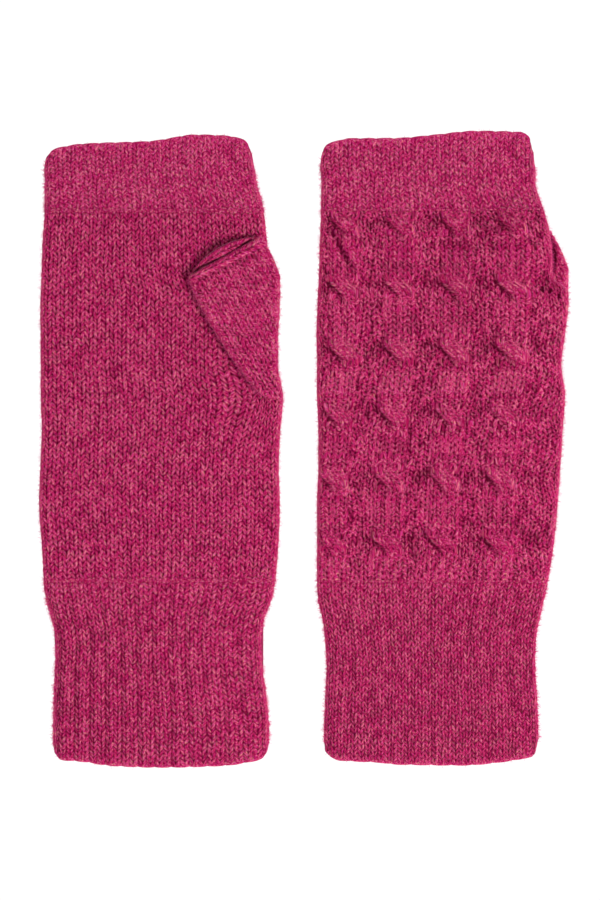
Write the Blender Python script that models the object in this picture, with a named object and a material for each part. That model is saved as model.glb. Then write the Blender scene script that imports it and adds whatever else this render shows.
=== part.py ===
"""A pair of knitted wrist warmers, laid flat side by side.

The right-hand one lies palm up, with its thumb folded across the palm. The left-hand one lies back up,
on its own folded thumb. Each is one flattened knitted tube: a ribbed cuff, a hand with a plain palm and a
cabled back, a ribbed finger band and a short thumb. +Y points to the fingers, +X to the side on which both
thumbs lie, +Z up, and the floor is z = 0. Tables are in millimetres, measured on each warmer from its
middle line and up from the lowest point of its cuff.
"""

import math
from collections import namedtuple

import bmesh
import bpy
import numpy as np

MM = 0.001
COLLECTION = "wrist_warmers"

# The cloth, in millimetres
WALL = 2.2  # one knitted layer
SLACK = 0.8  # air between the two layers of a flattened tube
SEAM = 0.3  # between two pieces that are knitted or sewn to each other
REST = 0.5  # between a folded thumb and the layer that it touches
LAYERS = 2 * WALL + SLACK
FOLD = LAYERS / 2  # radius of the fold along each side

# The zones of a warmer, up from its hem
CUFF_TOP = 71.2
BAND_FOOT = 211.2

# Where each warmer's middle line and hem lie
RIGHT_AT = (-54.6, -120.95)
LEFT_AT = (48.3, -120.95)

# The ribs: two or three knit columns and a sunken purl one
CUFF_GROOVE = 0.9
BAND_GROOVE = 0.35
RIB_BROAD = 0.7  # the power of a sine that a rib's section follows, broader than a plain one
RIB_FADE = 14.0  # the cuff's ribs grow this slowly out of the plain hand
BAND_FADE = 8.0  # and the band's over this distance
BAND_FULL = 4.0  # which ends this far up it

# The cables on the back: two strands of two columns, the one from the thumb's side crossing in front
CABLES = 4
CABLE_FIRST = -32.9
CABLE_PITCH = 21.1
CABLE_IN = 8.0  # they rise out of the plain cuff over this distance
CABLE_OUT = 4.0  # and sink again before the band over this one
CROSSINGS = 6
CROSS_FIRST = 85.5
CROSS_PITCH = 24.2
CROSS_SPAN = 0.17  # half of a crossing's length, as a share of the pitch
STRAND_HALF = 3.1
STRAND_APART = 5.6
STRAND_RISE = 1.7
STRAIGHT_SHARE = 0.45  # of that rise between crossings
CROSS_SHARE = 0.5  # and this much more of it for the front strand where it crosses
FRONT_HALF = 4.6  # of the front strand where it crosses
GROUND = -0.4  # the plain ground between cables, under the wall's usual face
PIT = 0.5  # it sinks this much more beside a crossing
PIT_REACH = 5.5

# The folded thumb, along which places are shares of its length
MOUTH_GAP = 1.6
MOUTH_FROM = 0.9  # the hollow widens to the mouth from here
THUMB_DEEP = 0.22  # and is closed from here to the palm
LIP_PAST = 4.0  # the layer next to the palm reaches this far past the other at the mouth
RIM_RISE = 0.6
RIM_AT = 0.972
RIM_REACH = 0.022
RIM_ROWS = (0.965, 1.0)
KNIT_END = 0.93
RIM_LIFTS = (0.7, 0.9)  # the rim lifts the cloth on top of it between these
DRAPE = 17.0  # cloth that lies on the thumb comes down over this distance
HUMP = 2.0  # the palm rises this much where the thumb grows out of it
HUMP_REACH = 12.0

# How many steps the surfaces have
ARC = 2  # in each quarter of a fold
CUFF_ROWS = 7
BAND_ROWS = 4
PLAIN_ROWS = 28
THUMB_ROWS = 9
CROSS_ROWS = np.array([-0.42, -0.28, -0.17, -0.06, 0.06, 0.17, 0.28, 0.42])  # as shares of the pitch
ROW_LEAST = 1.0  # between such a row and a panel's end
RIB_COLUMNS = 3
TUBE_COLUMNS = 6
THUMB_COLUMNS = 8
PALM_COLUMNS = 18
CABLE_COLUMNS = 44
FLOOR_COLUMNS = 12
INSIDE_COLUMNS = 12
FINE = 400  # places at which the ribs' spacing is worked out
PRINT = (30, 15)  # points along and across the thumb that the cloth over it is measured from
BASE_POINTS = 9  # and points along its base
SHARP = math.radians(50)  # edges that turn more than this aren't shaded smooth

Side = namedtuple("Side", "up little thumb")
Edge = namedtuple("Edge", "across up")
Section = namedtuple("Section", "inner_x inner_up outer_x outer_up thick")
Ribs = namedtuple("Ribs", "count lean deep shallow")
Warmer = namedtuple("Warmer", "name at palm_up sides hem tip thumb cuff band")
Ring = namedtuple("Ring", "flat out rise turn")

RIGHT_SIDES = (
    Side(0.0, -41.0, 41.6),
    Side(12.5, -40.9, 41.6),
    Side(25.7, -40.7, 40.7),
    Side(39.0, -40.1, 39.0),
    Side(48.4, -39.9, 38.6),
    Side(56.0, -41.4, 39.6),
    Side(63.6, -43.5, 42.4),
    Side(71.2, -44.3, 43.9),
    Side(84.4, -45.0, 45.0),
    Side(99.5, -46.0, 45.6),
    Side(114.7, -45.6, 45.2),
    Side(127.9, -45.0, 45.8),
    Side(140.0, -45.4, 46.8),
    Side(154.0, -45.4, 44.7),
    Side(170.0, -45.6, 45.0),
    Side(181.0, -45.4, 45.0),
    Side(184.5, -45.2, 43.0),
    Side(188.0, -45.1, 41.7),
    Side(199.8, -44.7, 40.7),
    Side(213.1, -43.9, 39.2),
    Side(222.6, -43.9, 36.7),
    Side(230.1, -44.2, 36.0),
    Side(240.0, -44.2, 36.0),
)
LEFT_SIDES = (
    Side(0.0, -41.0, 41.0),
    Side(12.5, -40.9, 40.9),
    Side(25.7, -40.5, 40.5),
    Side(39.0, -39.9, 39.7),
    Side(48.4, -40.5, 39.9),
    Side(56.0, -41.4, 41.3),
    Side(63.6, -43.1, 43.0),
    Side(71.2, -43.5, 44.5),
    Side(84.4, -43.5, 46.6),
    Side(99.5, -43.5, 48.1),
    Side(114.7, -43.0, 49.2),
    Side(127.9, -43.0, 50.0),
    Side(141.2, -43.5, 50.7),
    Side(152.5, -43.5, 49.0),
    Side(163.9, -43.7, 50.3),
    Side(177.1, -43.2, 51.7),
    Side(180.6, -43.1, 51.5),
    Side(182.8, -43.0, 49.2),
    Side(185.1, -42.9, 45.9),
    Side(199.8, -42.4, 45.0),
    Side(206.0, -42.2, 43.9),
    Side(213.1, -42.0, 42.0),
    Side(222.6, -41.8, 39.7),
    Side(230.1, -42.4, 39.8),
    Side(242.0, -42.5, 39.8),
)
# The hems and the bands' edges, across the whole width with its folds, from -1 to 1
RIGHT_HEM = (
    Edge(-1.0, 8.5),
    Edge(-0.985, 4.9),
    Edge(-0.95, 3.3),
    Edge(-0.7, 2.3),
    Edge(-0.45, 0.8),
    Edge(0.0, 0.2),
    Edge(0.55, 0.8),
    Edge(0.83, 2.4),
    Edge(0.93, 3.6),
    Edge(0.975, 5.2),
    Edge(1.0, 9.0),
)
LEFT_HEM = (
    Edge(-1.0, 9.5),
    Edge(-0.985, 5.8),
    Edge(-0.94, 4.2),
    Edge(-0.85, 2.9),
    Edge(-0.5, 2.1),
    Edge(-0.3, 1.3),
    Edge(0.3, 1.0),
    Edge(0.6, 2.0),
    Edge(0.88, 3.8),
    Edge(0.955, 4.6),
    Edge(0.98, 6.6),
    Edge(1.0, 11.0),
)
RIGHT_TIP = (
    Edge(-1.0, 227.5),
    Edge(-0.985, 231.4),
    Edge(-0.955, 233.2),
    Edge(-0.83, 235.4),
    Edge(-0.6, 236.7),
    Edge(0.0, 237.6),
    Edge(0.45, 240.1),
    Edge(0.75, 239.6),
    Edge(0.9, 238.0),
    Edge(0.955, 235.7),
    Edge(0.985, 232.0),
    Edge(1.0, 227.0),
)
LEFT_TIP = (
    Edge(-1.0, 229.0),
    Edge(-0.98, 234.0),
    Edge(-0.94, 236.2),
    Edge(-0.7, 238.7),
    Edge(-0.3, 238.8),
    Edge(0.05, 240.0),
    Edge(0.45, 241.5),
    Edge(0.84, 241.1),
    Edge(0.92, 239.8),
    Edge(0.965, 236.0),
    Edge(1.0, 228.0),
)
# From the palm out to the mouth: the end of each section over the palm, its end at the side, its thickness
RIGHT_THUMB = (
    Section(38.6, 141.2, 46.6, 138.6, 1.6),
    Section(34.8, 145.0, 45.9, 144.0, 3.4),
    Section(30.7, 150.3, 45.0, 151.4, 4.8),
    Section(25.4, 157.8, 45.0, 161.2, 5.2),
    Section(20.4, 165.4, 45.6, 172.6, 5.2),
    Section(15.9, 173.4, 45.8, 184.3, 5.2),
    Section(12.5, 180.5, 43.1, 193.0, 5.4),
    Section(10.8, 186.0, 38.6, 201.4, 5.8),
)
LEFT_THUMB = (
    Section(44.7, 143.8, 50.9, 141.6, 1.6),
    Section(41.3, 148.0, 49.9, 146.9, 3.4),
    Section(37.1, 153.3, 49.2, 154.4, 4.8),
    Section(31.8, 160.9, 50.4, 164.3, 5.2),
    Section(26.9, 168.4, 51.6, 175.7, 5.2),
    Section(22.3, 176.4, 52.3, 187.3, 5.2),
    Section(18.9, 183.6, 49.6, 196.1, 5.2),
    Section(17.0, 189.3, 45.0, 204.4, 4.4),
)
# How far the cables lean from straight up, from the cuff to the band
LEAN_UP = (CUFF_TOP, 85.5, 110.0, 134.0, 158.0, BAND_FOOT)
LEAN_ACROSS = (-5.4, -4.9, -4.2, -2.4, -0.4, 0.0)

RIGHT = Warmer(
    "right", RIGHT_AT, True, RIGHT_SIDES, RIGHT_HEM, RIGHT_TIP, RIGHT_THUMB,
    Ribs(12, 0.35, 1.0, 0.45), Ribs(12, 0.0, 1.0, 1.0),
)
LEFT = Warmer(
    "left", LEFT_AT, False, LEFT_SIDES, LEFT_HEM, LEFT_TIP, LEFT_THUMB,
    Ribs(10, 0.0, 0.55, 0.7), Ribs(12, 0.0, 1.0, 1.0),
)

CUFF_COLOUR = (0.352, 0.026, 0.090, 1.0)
HAND_COLOUR = (0.361, 0.024, 0.091, 1.0)
BAND_COLOUR = (0.407, 0.034, 0.112, 1.0)
THUMB_COLOUR = (0.386, 0.031, 0.100, 1.0)


def clear_scene():
    """Removes every object, so that the model starts from nothing."""
    for thing in list(bpy.data.objects):
        bpy.data.objects.remove(thing, do_unlink=True)


def wool(name, colour):
    """A plain matt wool of the piece's colour."""
    material = bpy.data.materials.new(name)
    material.use_nodes = True
    shader = material.node_tree.nodes["Principled BSDF"]
    shader.inputs["Base Color"].default_value = colour
    shader.inputs["Roughness"].default_value = 0.9
    shader.inputs["Metallic"].default_value = 0.0
    return material


def smooth(at, places, values):
    """A curve through a table's rows, in cubic pieces that never swing past them."""
    places, values = np.asarray(places, float), np.asarray(values, float)
    step = np.diff(places)
    slope = np.diff(values) / step
    before, after = slope[:-1], slope[1:]
    same_way = before * after > 0
    tangent = np.concatenate([slope[:1], np.zeros(len(values) - 2), slope[-1:]])
    tangent[1:-1][same_way] = 2 * (before * after)[same_way] / (before + after)[same_way]
    at = np.clip(at, places[0], places[-1])
    i = np.clip(np.searchsorted(places, at) - 1, 0, len(step) - 1)
    t = (at - places[i]) / step[i]
    rise = values[i] * (1 + 2 * t) * (1 - t) ** 2 + values[i + 1] * t * t * (3 - 2 * t)
    return rise + step[i] * t * (1 - t) * (tangent[i] * (1 - t) - tangent[i + 1] * t)


def column(table, name):
    """One named column of a table."""
    return [getattr(row, name) for row in table]


def fall(distance, reach):
    """1 at no distance, and 0 from reach on, along half a cosine wave."""
    return 0.5 + 0.5 * np.cos(math.pi * np.clip(distance / reach, 0.0, 1.0))


def distance_to(x, up, points):
    """How far each place is from the nearest of some points, and which one that is."""
    away = np.hypot(x[..., None] - points[:, 0], up[..., None] - points[:, 1])
    return away.min(axis=-1), away.argmin(axis=-1)


def ring(top, bottom, arc):
    """The points round a flattened tube, from the thumb's side over the top and back underneath.

    flat runs from 1 to -1 along the straight layers. out and rise are the cosine and sine of the fold along
    each side, and turn is the place round the ring, from 0 to 1. top and bottom are flat's values between
    the folds, and arc is how many steps each quarter of a fold has.
    """
    rising = np.arange(arc) / arc
    going = rising[1:]
    up, down = rising * math.pi / 2, going * math.pi / 2
    none, one = np.zeros, np.ones
    flat = [one(arc), top, -one(2 * arc - 1), bottom, one(arc - 1)]
    out = [np.cos(up), none(len(top)), -np.sin(down), -np.cos(up), none(len(bottom)), np.sin(down)]
    rise = [np.sin(up), one(len(top)), np.cos(down), -np.sin(up), -one(len(bottom)), -np.cos(down)]
    turn = [
        0.1 * rising, 0.25 - 0.15 * top, 0.4 + 0.1 * going,
        0.5 + 0.1 * rising, 0.75 + 0.15 * bottom, 0.9 + 0.1 * going,
    ]
    return Ring(*(np.concatenate(part) for part in (flat, out, rise, turn)))


def half(whole, over):
    """The half of a ring on top, or the one underneath, both from the thumb's side at mid height."""
    if over:
        return Ring(*(part[whole.turn <= 0.5] for part in whole))
    thumb_side = (1.0, 1.0, 0.0, 1.0)
    parts = [np.append(part[whole.turn >= 0.5], end)[::-1] for part, end in zip(whole, thumb_side)]
    return Ring(*parts)


def layer_columns(count):
    """Values of flat between two folds, evenly spaced, from the thumb's side."""
    return np.linspace(1.0, -1.0, count + 1)


def rib_place(ribs, flat):
    """How many ribs lie between the little finger's side and a place, with closer ones where they lean."""
    return ribs.count * 0.5 * (1 + flat) + ribs.lean * (1 - flat * flat)


def rib_columns(ribs, a_rib):
    """Values of flat with a column in each groove and a_rib - 1 more on each rib."""
    fine = np.linspace(-1.0, 1.0, FINE)
    places = np.arange(ribs.count * a_rib + 1) / a_rib
    return np.interp(places, rib_place(ribs, fine), fine)[::-1]


def rib_relief(ribs, flat, rise, depth):
    """The sunken purl columns between ribs on the layer that shows, deeper on the little finger's side."""
    share = ribs.deep + (ribs.shallow - ribs.deep) * (0.5 + 0.5 * flat)
    crest = np.abs(np.sin(math.pi * rib_place(ribs, flat))) ** RIB_BROAD
    return -depth * share * (1 - crest) * np.clip(rise, 0.0, 1.0)


def cable_relief(x, up):
    """The cabled ground: two rounded strands a cable, which swap sides at each crossing.

    A strand's section is half an ellipse. The one that starts on the thumb's side runs over to the other in
    front, along a sine, and is wider and higher there. The other one sinks under it, and the ground beside
    the crossing is drawn in.
    """
    from_first = x - smooth(up, LEAN_UP, LEAN_ACROSS) - CABLE_FIRST
    cable = np.clip(np.round(from_first / CABLE_PITCH), 0, CABLES - 1)
    aside = from_first - cable * CABLE_PITCH
    phase = (up - CROSS_FIRST) / CROSS_PITCH
    phase = phase - np.round(phase)
    swap = np.sin(0.5 * math.pi * np.clip(phase / CROSS_SPAN, -1, 1))
    crossing = fall(np.abs(phase), 2 * CROSS_SPAN)
    front = (aside + 0.5 * STRAND_APART * swap) / (STRAND_HALF + (FRONT_HALF - STRAND_HALF) * crossing)
    behind = (aside - 0.5 * STRAND_APART * swap) / STRAND_HALF
    over = (STRAIGHT_SHARE + CROSS_SHARE * crossing) * np.sqrt(np.clip(1 - front**2, 0, 1))
    under = STRAIGHT_SHARE * (1 - crossing) * np.sqrt(np.clip(1 - behind**2, 0, 1))
    beside = fall(np.abs(np.abs(aside) - 0.5 * CABLE_PITCH), PIT_REACH)
    relief = GROUND - PIT * crossing * beside * (1 - over) + STRAND_RISE * np.maximum(over, under)
    begun = fall(np.clip(CUFF_TOP + CABLE_IN - up, 0, None), CABLE_IN)
    return relief * begun * fall(np.clip(up - BAND_FOOT + CABLE_OUT, 0, None), CABLE_OUT)


def thumb_section(warmer, along):
    """The two ends of the thumb's section and its thickness, for along from 0 in the palm to 1 at its mouth."""
    rows = np.linspace(0.0, 1.0, len(warmer.thumb))
    return [smooth(along, rows, column(warmer.thumb, name)) for name in Section._fields]


def thumb_plan(warmer, along, across, past=0.0):
    """Where a point of the thumb lies from above: across its section, and past its mouth along the thumb."""
    inner_x, inner_up, outer_x, outer_up, _ = thumb_section(warmer, along)
    middle = 0.5 + 0.5 * across
    x = inner_x + (outer_x - inner_x) * middle
    up = inner_up + (outer_up - inner_up) * middle
    mouth = warmer.thumb[-1]
    wide = math.hypot(mouth.outer_x - mouth.inner_x, mouth.outer_up - mouth.inner_up)
    grown = past * along**3 * (1 - across**2)
    x = x - grown * (mouth.outer_up - mouth.inner_up) / wide
    return x, up + grown * (mouth.outer_x - mouth.inner_x) / wide


def thumb_footprint(warmer):
    """Points spread over the thumb's place, and how thick the thumb is at each."""
    along, across = np.meshgrid(np.linspace(0, 1, PRINT[0]), np.linspace(-1, 1, PRINT[1]), indexing="ij")
    x, up = thumb_plan(warmer, along, across, LIP_PAST)
    thick = thumb_section(warmer, along)[4] + RIM_RISE * np.interp(along, RIM_LIFTS, (0.0, 1.0))
    return np.stack([x.ravel(), up.ravel()], axis=1), thick.ravel()


def palm_hump(warmer, x, up):
    """The palm of a warmer that lies palm up, raised where the thumb grows out of it."""
    base = thumb_section(warmer, np.zeros(BASE_POINTS))[:4]
    across = np.linspace(0, 1, BASE_POINTS)
    line = np.stack([base[0] + (base[2] - base[0]) * across, base[1] + (base[3] - base[1]) * across], axis=1)
    return HUMP * fall(distance_to(x, up, line)[0], HUMP_REACH)


def drape(warmer, x, up):
    """How high both layers of a warmer lie that lies on its own thumb."""
    points, thick = thumb_footprint(warmer)
    away, nearest = distance_to(x, up, points)
    return (thick[nearest] + REST) * fall(away, DRAPE)


def lift(warmer, x, up, rise):
    """How far the folded thumb raises the cloth: the top layer over a hump, or both layers over the thumb."""
    if warmer.palm_up:
        return palm_hump(warmer, x, up) * np.clip(rise, 0.0, 1.0)
    return drape(warmer, x, up)


def edge_line(around, side, edge):
    """An edge's height round a tube, whose folds take the last of the width on both sides."""
    half_wide = 0.5 * (side.thumb - side.little)
    across = ((half_wide - FOLD) * around.flat + FOLD * around.out) / half_wide
    return smooth(across, column(edge, "across"), column(edge, "up"))


def hem_line(warmer, around):
    """The hem's height round the cuff."""
    return edge_line(around, warmer.sides[0], warmer.hem)


def tip_line(warmer, around):
    """The height of the band's upper edge round it."""
    return edge_line(around, warmer.sides[-1], warmer.tip)


def cuff_fade(up):
    """How deep the cuff's ribs are: 1 from the hem on, and 0 where the plain hand begins."""
    return fall(np.clip(up - CUFF_TOP + RIB_FADE, 0, None), RIB_FADE)


def band_fade(up):
    """How deep the band's ribs are: part of 1 at its foot, and 1 from a little way up it."""
    return fall(np.clip(BAND_FOOT + BAND_FULL - up, 0, None), BAND_FADE)


def cloth(warmer, across, up, radius, parted=0.0, relief=0.0):
    """Points of a flattened tube's wall, in millimetres on the warmer.

    Each layer is straight between two folds of the given radius, which share their centres inside and
    outside the wall. parted is how far a panel's sides lie over mid height, or under it if it's negative,
    and relief moves the points out along the wall's own normal.
    """
    flat, out, rise, _ = across
    little = smooth(up, column(warmer.sides, "up"), column(warmer.sides, "little"))
    thumb = smooth(up, column(warmer.sides, "up"), column(warmer.sides, "thumb"))
    centre, reach = 0.5 * (little + thumb), 0.5 * (thumb - little) - FOLD
    x = centre + reach * flat + (radius + relief) * out
    z = FOLD + parted + (radius - abs(parted) + relief) * rise
    return np.stack([x, up, z + lift(warmer, x, up, rise)], axis=-1)


def rows_between(low, high, count):
    """Heights for a zone: rows evenly spaced between its lower and upper lines."""
    share = np.linspace(0.0, 1.0, count + 1)[:, None]
    return low + (high - low) * share


def hand_rows(warmer, flat):
    """Heights for a hand's panels. Over the cables, each crossing has the same rows."""
    low, high = CUFF_TOP + SEAM / 2, BAND_FOOT - SEAM / 2
    if warmer.palm_up:
        return rows_between(low + 0 * flat, high + 0 * flat, PLAIN_ROWS)
    phases = np.arange(-1, CROSSINGS)[:, None] + CROSS_ROWS
    heights = (CROSS_FIRST + CROSS_PITCH * phases).ravel()
    inside = heights[(heights > low + ROW_LEAST) & (heights < high - ROW_LEAST)]
    return np.concatenate([[low], inside, [high]])[:, None] + 0 * flat


def placed(warmer, points):
    """Points of a warmer at their place on the floor, in metres."""
    return (points + (*warmer.at, 0.0)) * MM


def bridge(first, second):
    """Triangles between two closed loops, each given as places round the loop and their vertices."""
    loops = [list(zip(places, names)) for places, names in (first, second)]
    loops = [loop + [(loop[0][0] + 1.0, loop[0][1])] for loop in loops]
    a, b = loops
    faces, i, j = [], 0, 0
    while i < len(a) - 1 or j < len(b) - 1:
        if j == len(b) - 1 or (i < len(a) - 1 and a[i + 1][0] <= b[j + 1][0]):
            faces.append((a[i][1], a[i + 1][1], b[j][1]))
            i += 1
        else:
            faces.append((a[i][1], b[j + 1][1], b[j][1]))
            j += 1
    return faces


def grid_faces(names, round_it):
    """The triangles of a grid of vertices, closed round its columns or not."""
    if round_it:
        names = np.concatenate([names, names[:, :1]], axis=1)
    low, low_next, high, high_next = names[:-1, :-1], names[:-1, 1:], names[1:, :-1], names[1:, 1:]
    halves = [np.stack(corners, axis=-1) for corners in ((low, low_next, high_next), (low, high_next, high))]
    return [tuple(face) for face in np.concatenate(halves).reshape(-1, 3).tolist()]


def border(names, turn, up):
    """The closed border of an open grid, with places round it: hem, far side, tip and near side."""
    rows = (up - up[0]) / (up[-1] - up[0])
    share = (turn - turn[0]) / (turn[-1] - turn[0])
    places = np.concatenate(
        [0.25 * share[:-1], 0.25 + 0.25 * rows[:-1], 0.75 - 0.25 * share[:0:-1], 1.0 - 0.25 * rows[:0:-1]]
    )
    around = np.concatenate([names[0, :-1], names[:-1, -1], names[-1, :0:-1], names[:0:-1, 0]])
    return places.tolist(), around.tolist()


def make_object(name, warmer, grids, faces, colour):
    """One closed body of the piece's own wool, with its faces pointing out."""
    points = placed(warmer, np.concatenate([grid.reshape(-1, 3) for grid in grids]))
    mesh = bpy.data.meshes.new(name)
    mesh.from_pydata(points.tolist(), [], faces)
    body = bmesh.new()
    body.from_mesh(mesh)
    open_edges = [edge for edge in body.edges if edge.is_boundary]
    if open_edges:
        bmesh.ops.holes_fill(body, edges=open_edges, sides=0)
    bmesh.ops.triangulate(body, faces=body.faces)
    bmesh.ops.recalc_face_normals(body, faces=body.faces)
    body.to_mesh(mesh)
    body.free()
    mesh.materials.append(wool(name, colour))
    thing = bpy.data.objects.new(name, mesh)
    bpy.data.collections[COLLECTION].objects.link(thing)
    mesh.shade_smooth()
    mesh.set_sharp_from_angle(angle=SHARP)
    return thing


def numbered(grids):
    """The vertex numbers of several grids of points, in one mesh."""
    starts = np.cumsum([0] + [grid.shape[0] * grid.shape[1] for grid in grids])
    return [start + np.arange(end - start).reshape(grid.shape[:2]) for start, end, grid in
            zip(starts, starts[1:], grids)]


def tube_wall(name, warmer, grids, turns, mouths, colour):
    """A tube's wall between its outer and inner grids, joined round the mouths' rows."""
    names = numbered(grids)
    faces = grid_faces(names[0], True) + grid_faces(names[1], True)
    for row in mouths:
        loops = [(turn.tolist(), grid[row].tolist()) for turn, grid in zip(turns, names)]
        faces += bridge(*loops)
    return make_object(name, warmer, grids, faces, colour)


def panel_wall(name, warmer, grids, turns, colour):
    """A panel's wall between its outer and inner grids, joined round their borders."""
    names = numbered(grids)
    loops = [border(grid, turn, points[:, 0, 1]) for grid, turn, points in zip(names, turns, grids)]
    faces = grid_faces(names[0], False) + grid_faces(names[1], False) + bridge(*loops)
    return make_object(name, warmer, grids, faces, colour)


def make_ribbed_tube(name, warmer, ribs, depth, fade, low, high, rows, colour):
    """A flat ribbed tube, open at both ends: ribs on the layer that shows, a plain underside and inside.

    low and high give the heights of its two ends round it, and fade the ribs' share of their depth.
    """
    plain = layer_columns(TUBE_COLUMNS)
    outside, inside = ring(rib_columns(ribs, RIB_COLUMNS), -plain, ARC), ring(plain, -plain, ARC)
    grids = []
    for around, radius in ((outside, FOLD), (inside, FOLD - WALL)):
        up = rows_between(low(around), high(around), rows)
        relief = rib_relief(ribs, around.flat, around.rise, depth) * fade(up) if around is outside else 0.0
        grids.append(cloth(warmer, around, up, radius, relief=relief))
    return tube_wall(name, warmer, grids, (outside.turn, inside.turn), (0, -1), colour)


def make_cuff(warmer):
    """The deep wrist cuff, from the hem to the hand."""
    return make_ribbed_tube(
        warmer.name + "_cuff", warmer, warmer.cuff, CUFF_GROOVE, cuff_fade,
        lambda around: hem_line(warmer, around),
        lambda around: CUFF_TOP - SEAM / 2 + 0 * around.flat,
        CUFF_ROWS, CUFF_COLOUR,
    )


def make_band(warmer):
    """The finger band, from the hand to its edge."""
    return make_ribbed_tube(
        warmer.name + "_band", warmer, warmer.band, BAND_GROOVE, band_fade,
        lambda around: BAND_FOOT + SEAM / 2 + 0 * around.flat,
        lambda around: tip_line(warmer, around),
        BAND_ROWS, BAND_COLOUR,
    )


def make_panel(warmer, side, over, columns, relief):
    """The palm or the back: one layer of the hand, with half of the fold along each side."""
    outside = half(ring(layer_columns(columns), -layer_columns(columns), ARC), over)
    inside = half(ring(layer_columns(INSIDE_COLUMNS), -layer_columns(INSIDE_COLUMNS), ARC), over)
    parted = SEAM / 2 if over else -SEAM / 2
    up = hand_rows(warmer, outside.flat)
    outer = cloth(warmer, outside, up, FOLD, parted)
    if relief:
        raised = relief(outer[..., 0], up) * np.clip(outside.rise, 0.0, 1.0)
        outer = cloth(warmer, outside, up, FOLD, parted, raised)
    coarse = np.unique(np.append(np.arange(0, len(up), 2), len(up) - 1))
    inner = cloth(warmer, inside, hand_rows(warmer, inside.flat)[coarse], FOLD - WALL, parted)
    turns = (outside.turn, inside.turn)
    return panel_wall(f"{warmer.name}_{side}", warmer, (outer, inner), turns, HAND_COLOUR)


def thumb_wall(warmer, around, along, inset, rim):
    """Points of the thumb's wall, moved in by inset: a flat tube that lies on the palm or on the floor."""
    flat, out, rise, _ = around
    inner_x, inner_up, outer_x, outer_up, thick = thumb_section(warmer, along)
    fold = thick / 2
    half_wide = 0.5 * np.hypot(outer_x - inner_x, outer_up - inner_up)
    radius = fold - inset
    across = ((half_wide - fold) * flat + radius * out) / half_wide
    past = LIP_PAST * np.clip(-rise if warmer.palm_up else rise, 0.0, 1.0)
    x, up = thumb_plan(warmer, along, across, past)
    bead = rim * RIM_RISE * np.clip(rise, 0.0, 1.0)
    rests_on = LAYERS + REST + palm_hump(warmer, x, up) if warmer.palm_up else 0.0
    return np.stack([x, up, rests_on + fold + (radius + bead) * rise], axis=-1)


def make_thumb(warmer):
    """The short thumb: a flat tube open at its thick bound-off rim, and closed where it runs into the palm."""
    outside = ring(layer_columns(THUMB_COLUMNS), -layer_columns(THUMB_COLUMNS), ARC)
    inside = ring(layer_columns(TUBE_COLUMNS), -layer_columns(TUBE_COLUMNS), ARC - 1)
    rows = np.concatenate([np.linspace(0.0, KNIT_END, THUMB_ROWS), RIM_ROWS])[:, None]
    deep = np.linspace(THUMB_DEEP, 1.0, THUMB_ROWS - 2)[:, None]
    rim = np.exp(-(((rows - RIM_AT) / RIM_REACH) ** 2))
    outer = thumb_wall(warmer, outside, rows + 0 * outside.flat, 0.0, rim)
    thick = thumb_section(warmer, deep)[4]
    air = np.where(deep > MOUTH_FROM, MOUTH_GAP, SLACK)
    inner = thumb_wall(warmer, inside, deep + 0 * inside.flat, (thick - air) / 2, 0.0)
    turns = (outside.turn, inside.turn)
    return tube_wall(warmer.name + "_thumb", warmer, (outer, inner), turns, (-1,), THUMB_COLOUR)


def make_warmer(warmer):
    """One warmer. The layer on top is the palm or the cabled back, and the other is flat on the floor."""
    make_cuff(warmer)
    if warmer.palm_up:
        make_panel(warmer, "palm", True, PALM_COLUMNS, None)
        make_panel(warmer, "back", False, FLOOR_COLUMNS, None)
    else:
        make_panel(warmer, "palm", False, FLOOR_COLUMNS, None)
        make_panel(warmer, "back", True, CABLE_COLUMNS, cable_relief)
    make_band(warmer)
    make_thumb(warmer)


def main():
    """Builds both warmers in a collection of their own."""
    clear_scene()
    bpy.context.scene.collection.children.link(bpy.data.collections.new(COLLECTION))
    make_warmer(RIGHT)
    make_warmer(LEFT)


main()
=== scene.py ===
"""The looks of a pair of knitted wrist warmers, laid flat side by side.

Every piece but the loose fibres is a closed wall of cloth in the place of one solid of the frame. Its outer
side is a grid whose lines follow the knitting: columns of stitches (wales) run up the hand and rows of them
(courses) run round it. Only the cabled back has a straight grid, fine enough for stitches in any direction.
Each stitch is a V of two yarn legs, raised and sunk along the wall's own normal. Sizes are in millimetres,
measured on each warmer from its middle line and up from a line just under the hems, and points go into the
meshes in metres.
"""

import math
from collections import namedtuple

import bpy
import numpy as np
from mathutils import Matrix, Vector


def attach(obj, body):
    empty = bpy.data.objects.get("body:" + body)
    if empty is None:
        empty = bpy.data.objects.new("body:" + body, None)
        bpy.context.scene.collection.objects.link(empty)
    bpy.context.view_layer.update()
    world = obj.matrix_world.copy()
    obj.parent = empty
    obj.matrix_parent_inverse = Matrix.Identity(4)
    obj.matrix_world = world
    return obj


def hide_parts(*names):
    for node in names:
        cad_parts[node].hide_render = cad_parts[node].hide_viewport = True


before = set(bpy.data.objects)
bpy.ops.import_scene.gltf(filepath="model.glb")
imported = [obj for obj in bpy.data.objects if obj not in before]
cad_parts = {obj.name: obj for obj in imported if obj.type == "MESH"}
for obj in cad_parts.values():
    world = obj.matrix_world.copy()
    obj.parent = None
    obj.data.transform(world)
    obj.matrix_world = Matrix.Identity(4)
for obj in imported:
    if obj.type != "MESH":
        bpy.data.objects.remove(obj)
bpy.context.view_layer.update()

MM = 0.001

# The cloth, in millimetres
WALL = 2.2  # one knitted layer
THINNEST = 0.3  # what is left of it in the deepest hole
FOLD = 2.6  # radius of the fold along each side of a flattened tube
LAYERS = 2 * FOLD
REST = 0.5  # between a folded thumb and the layer that it touches
LIP = 0.1  # half of the flat left between a rounded edge's outer and inner side

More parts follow.
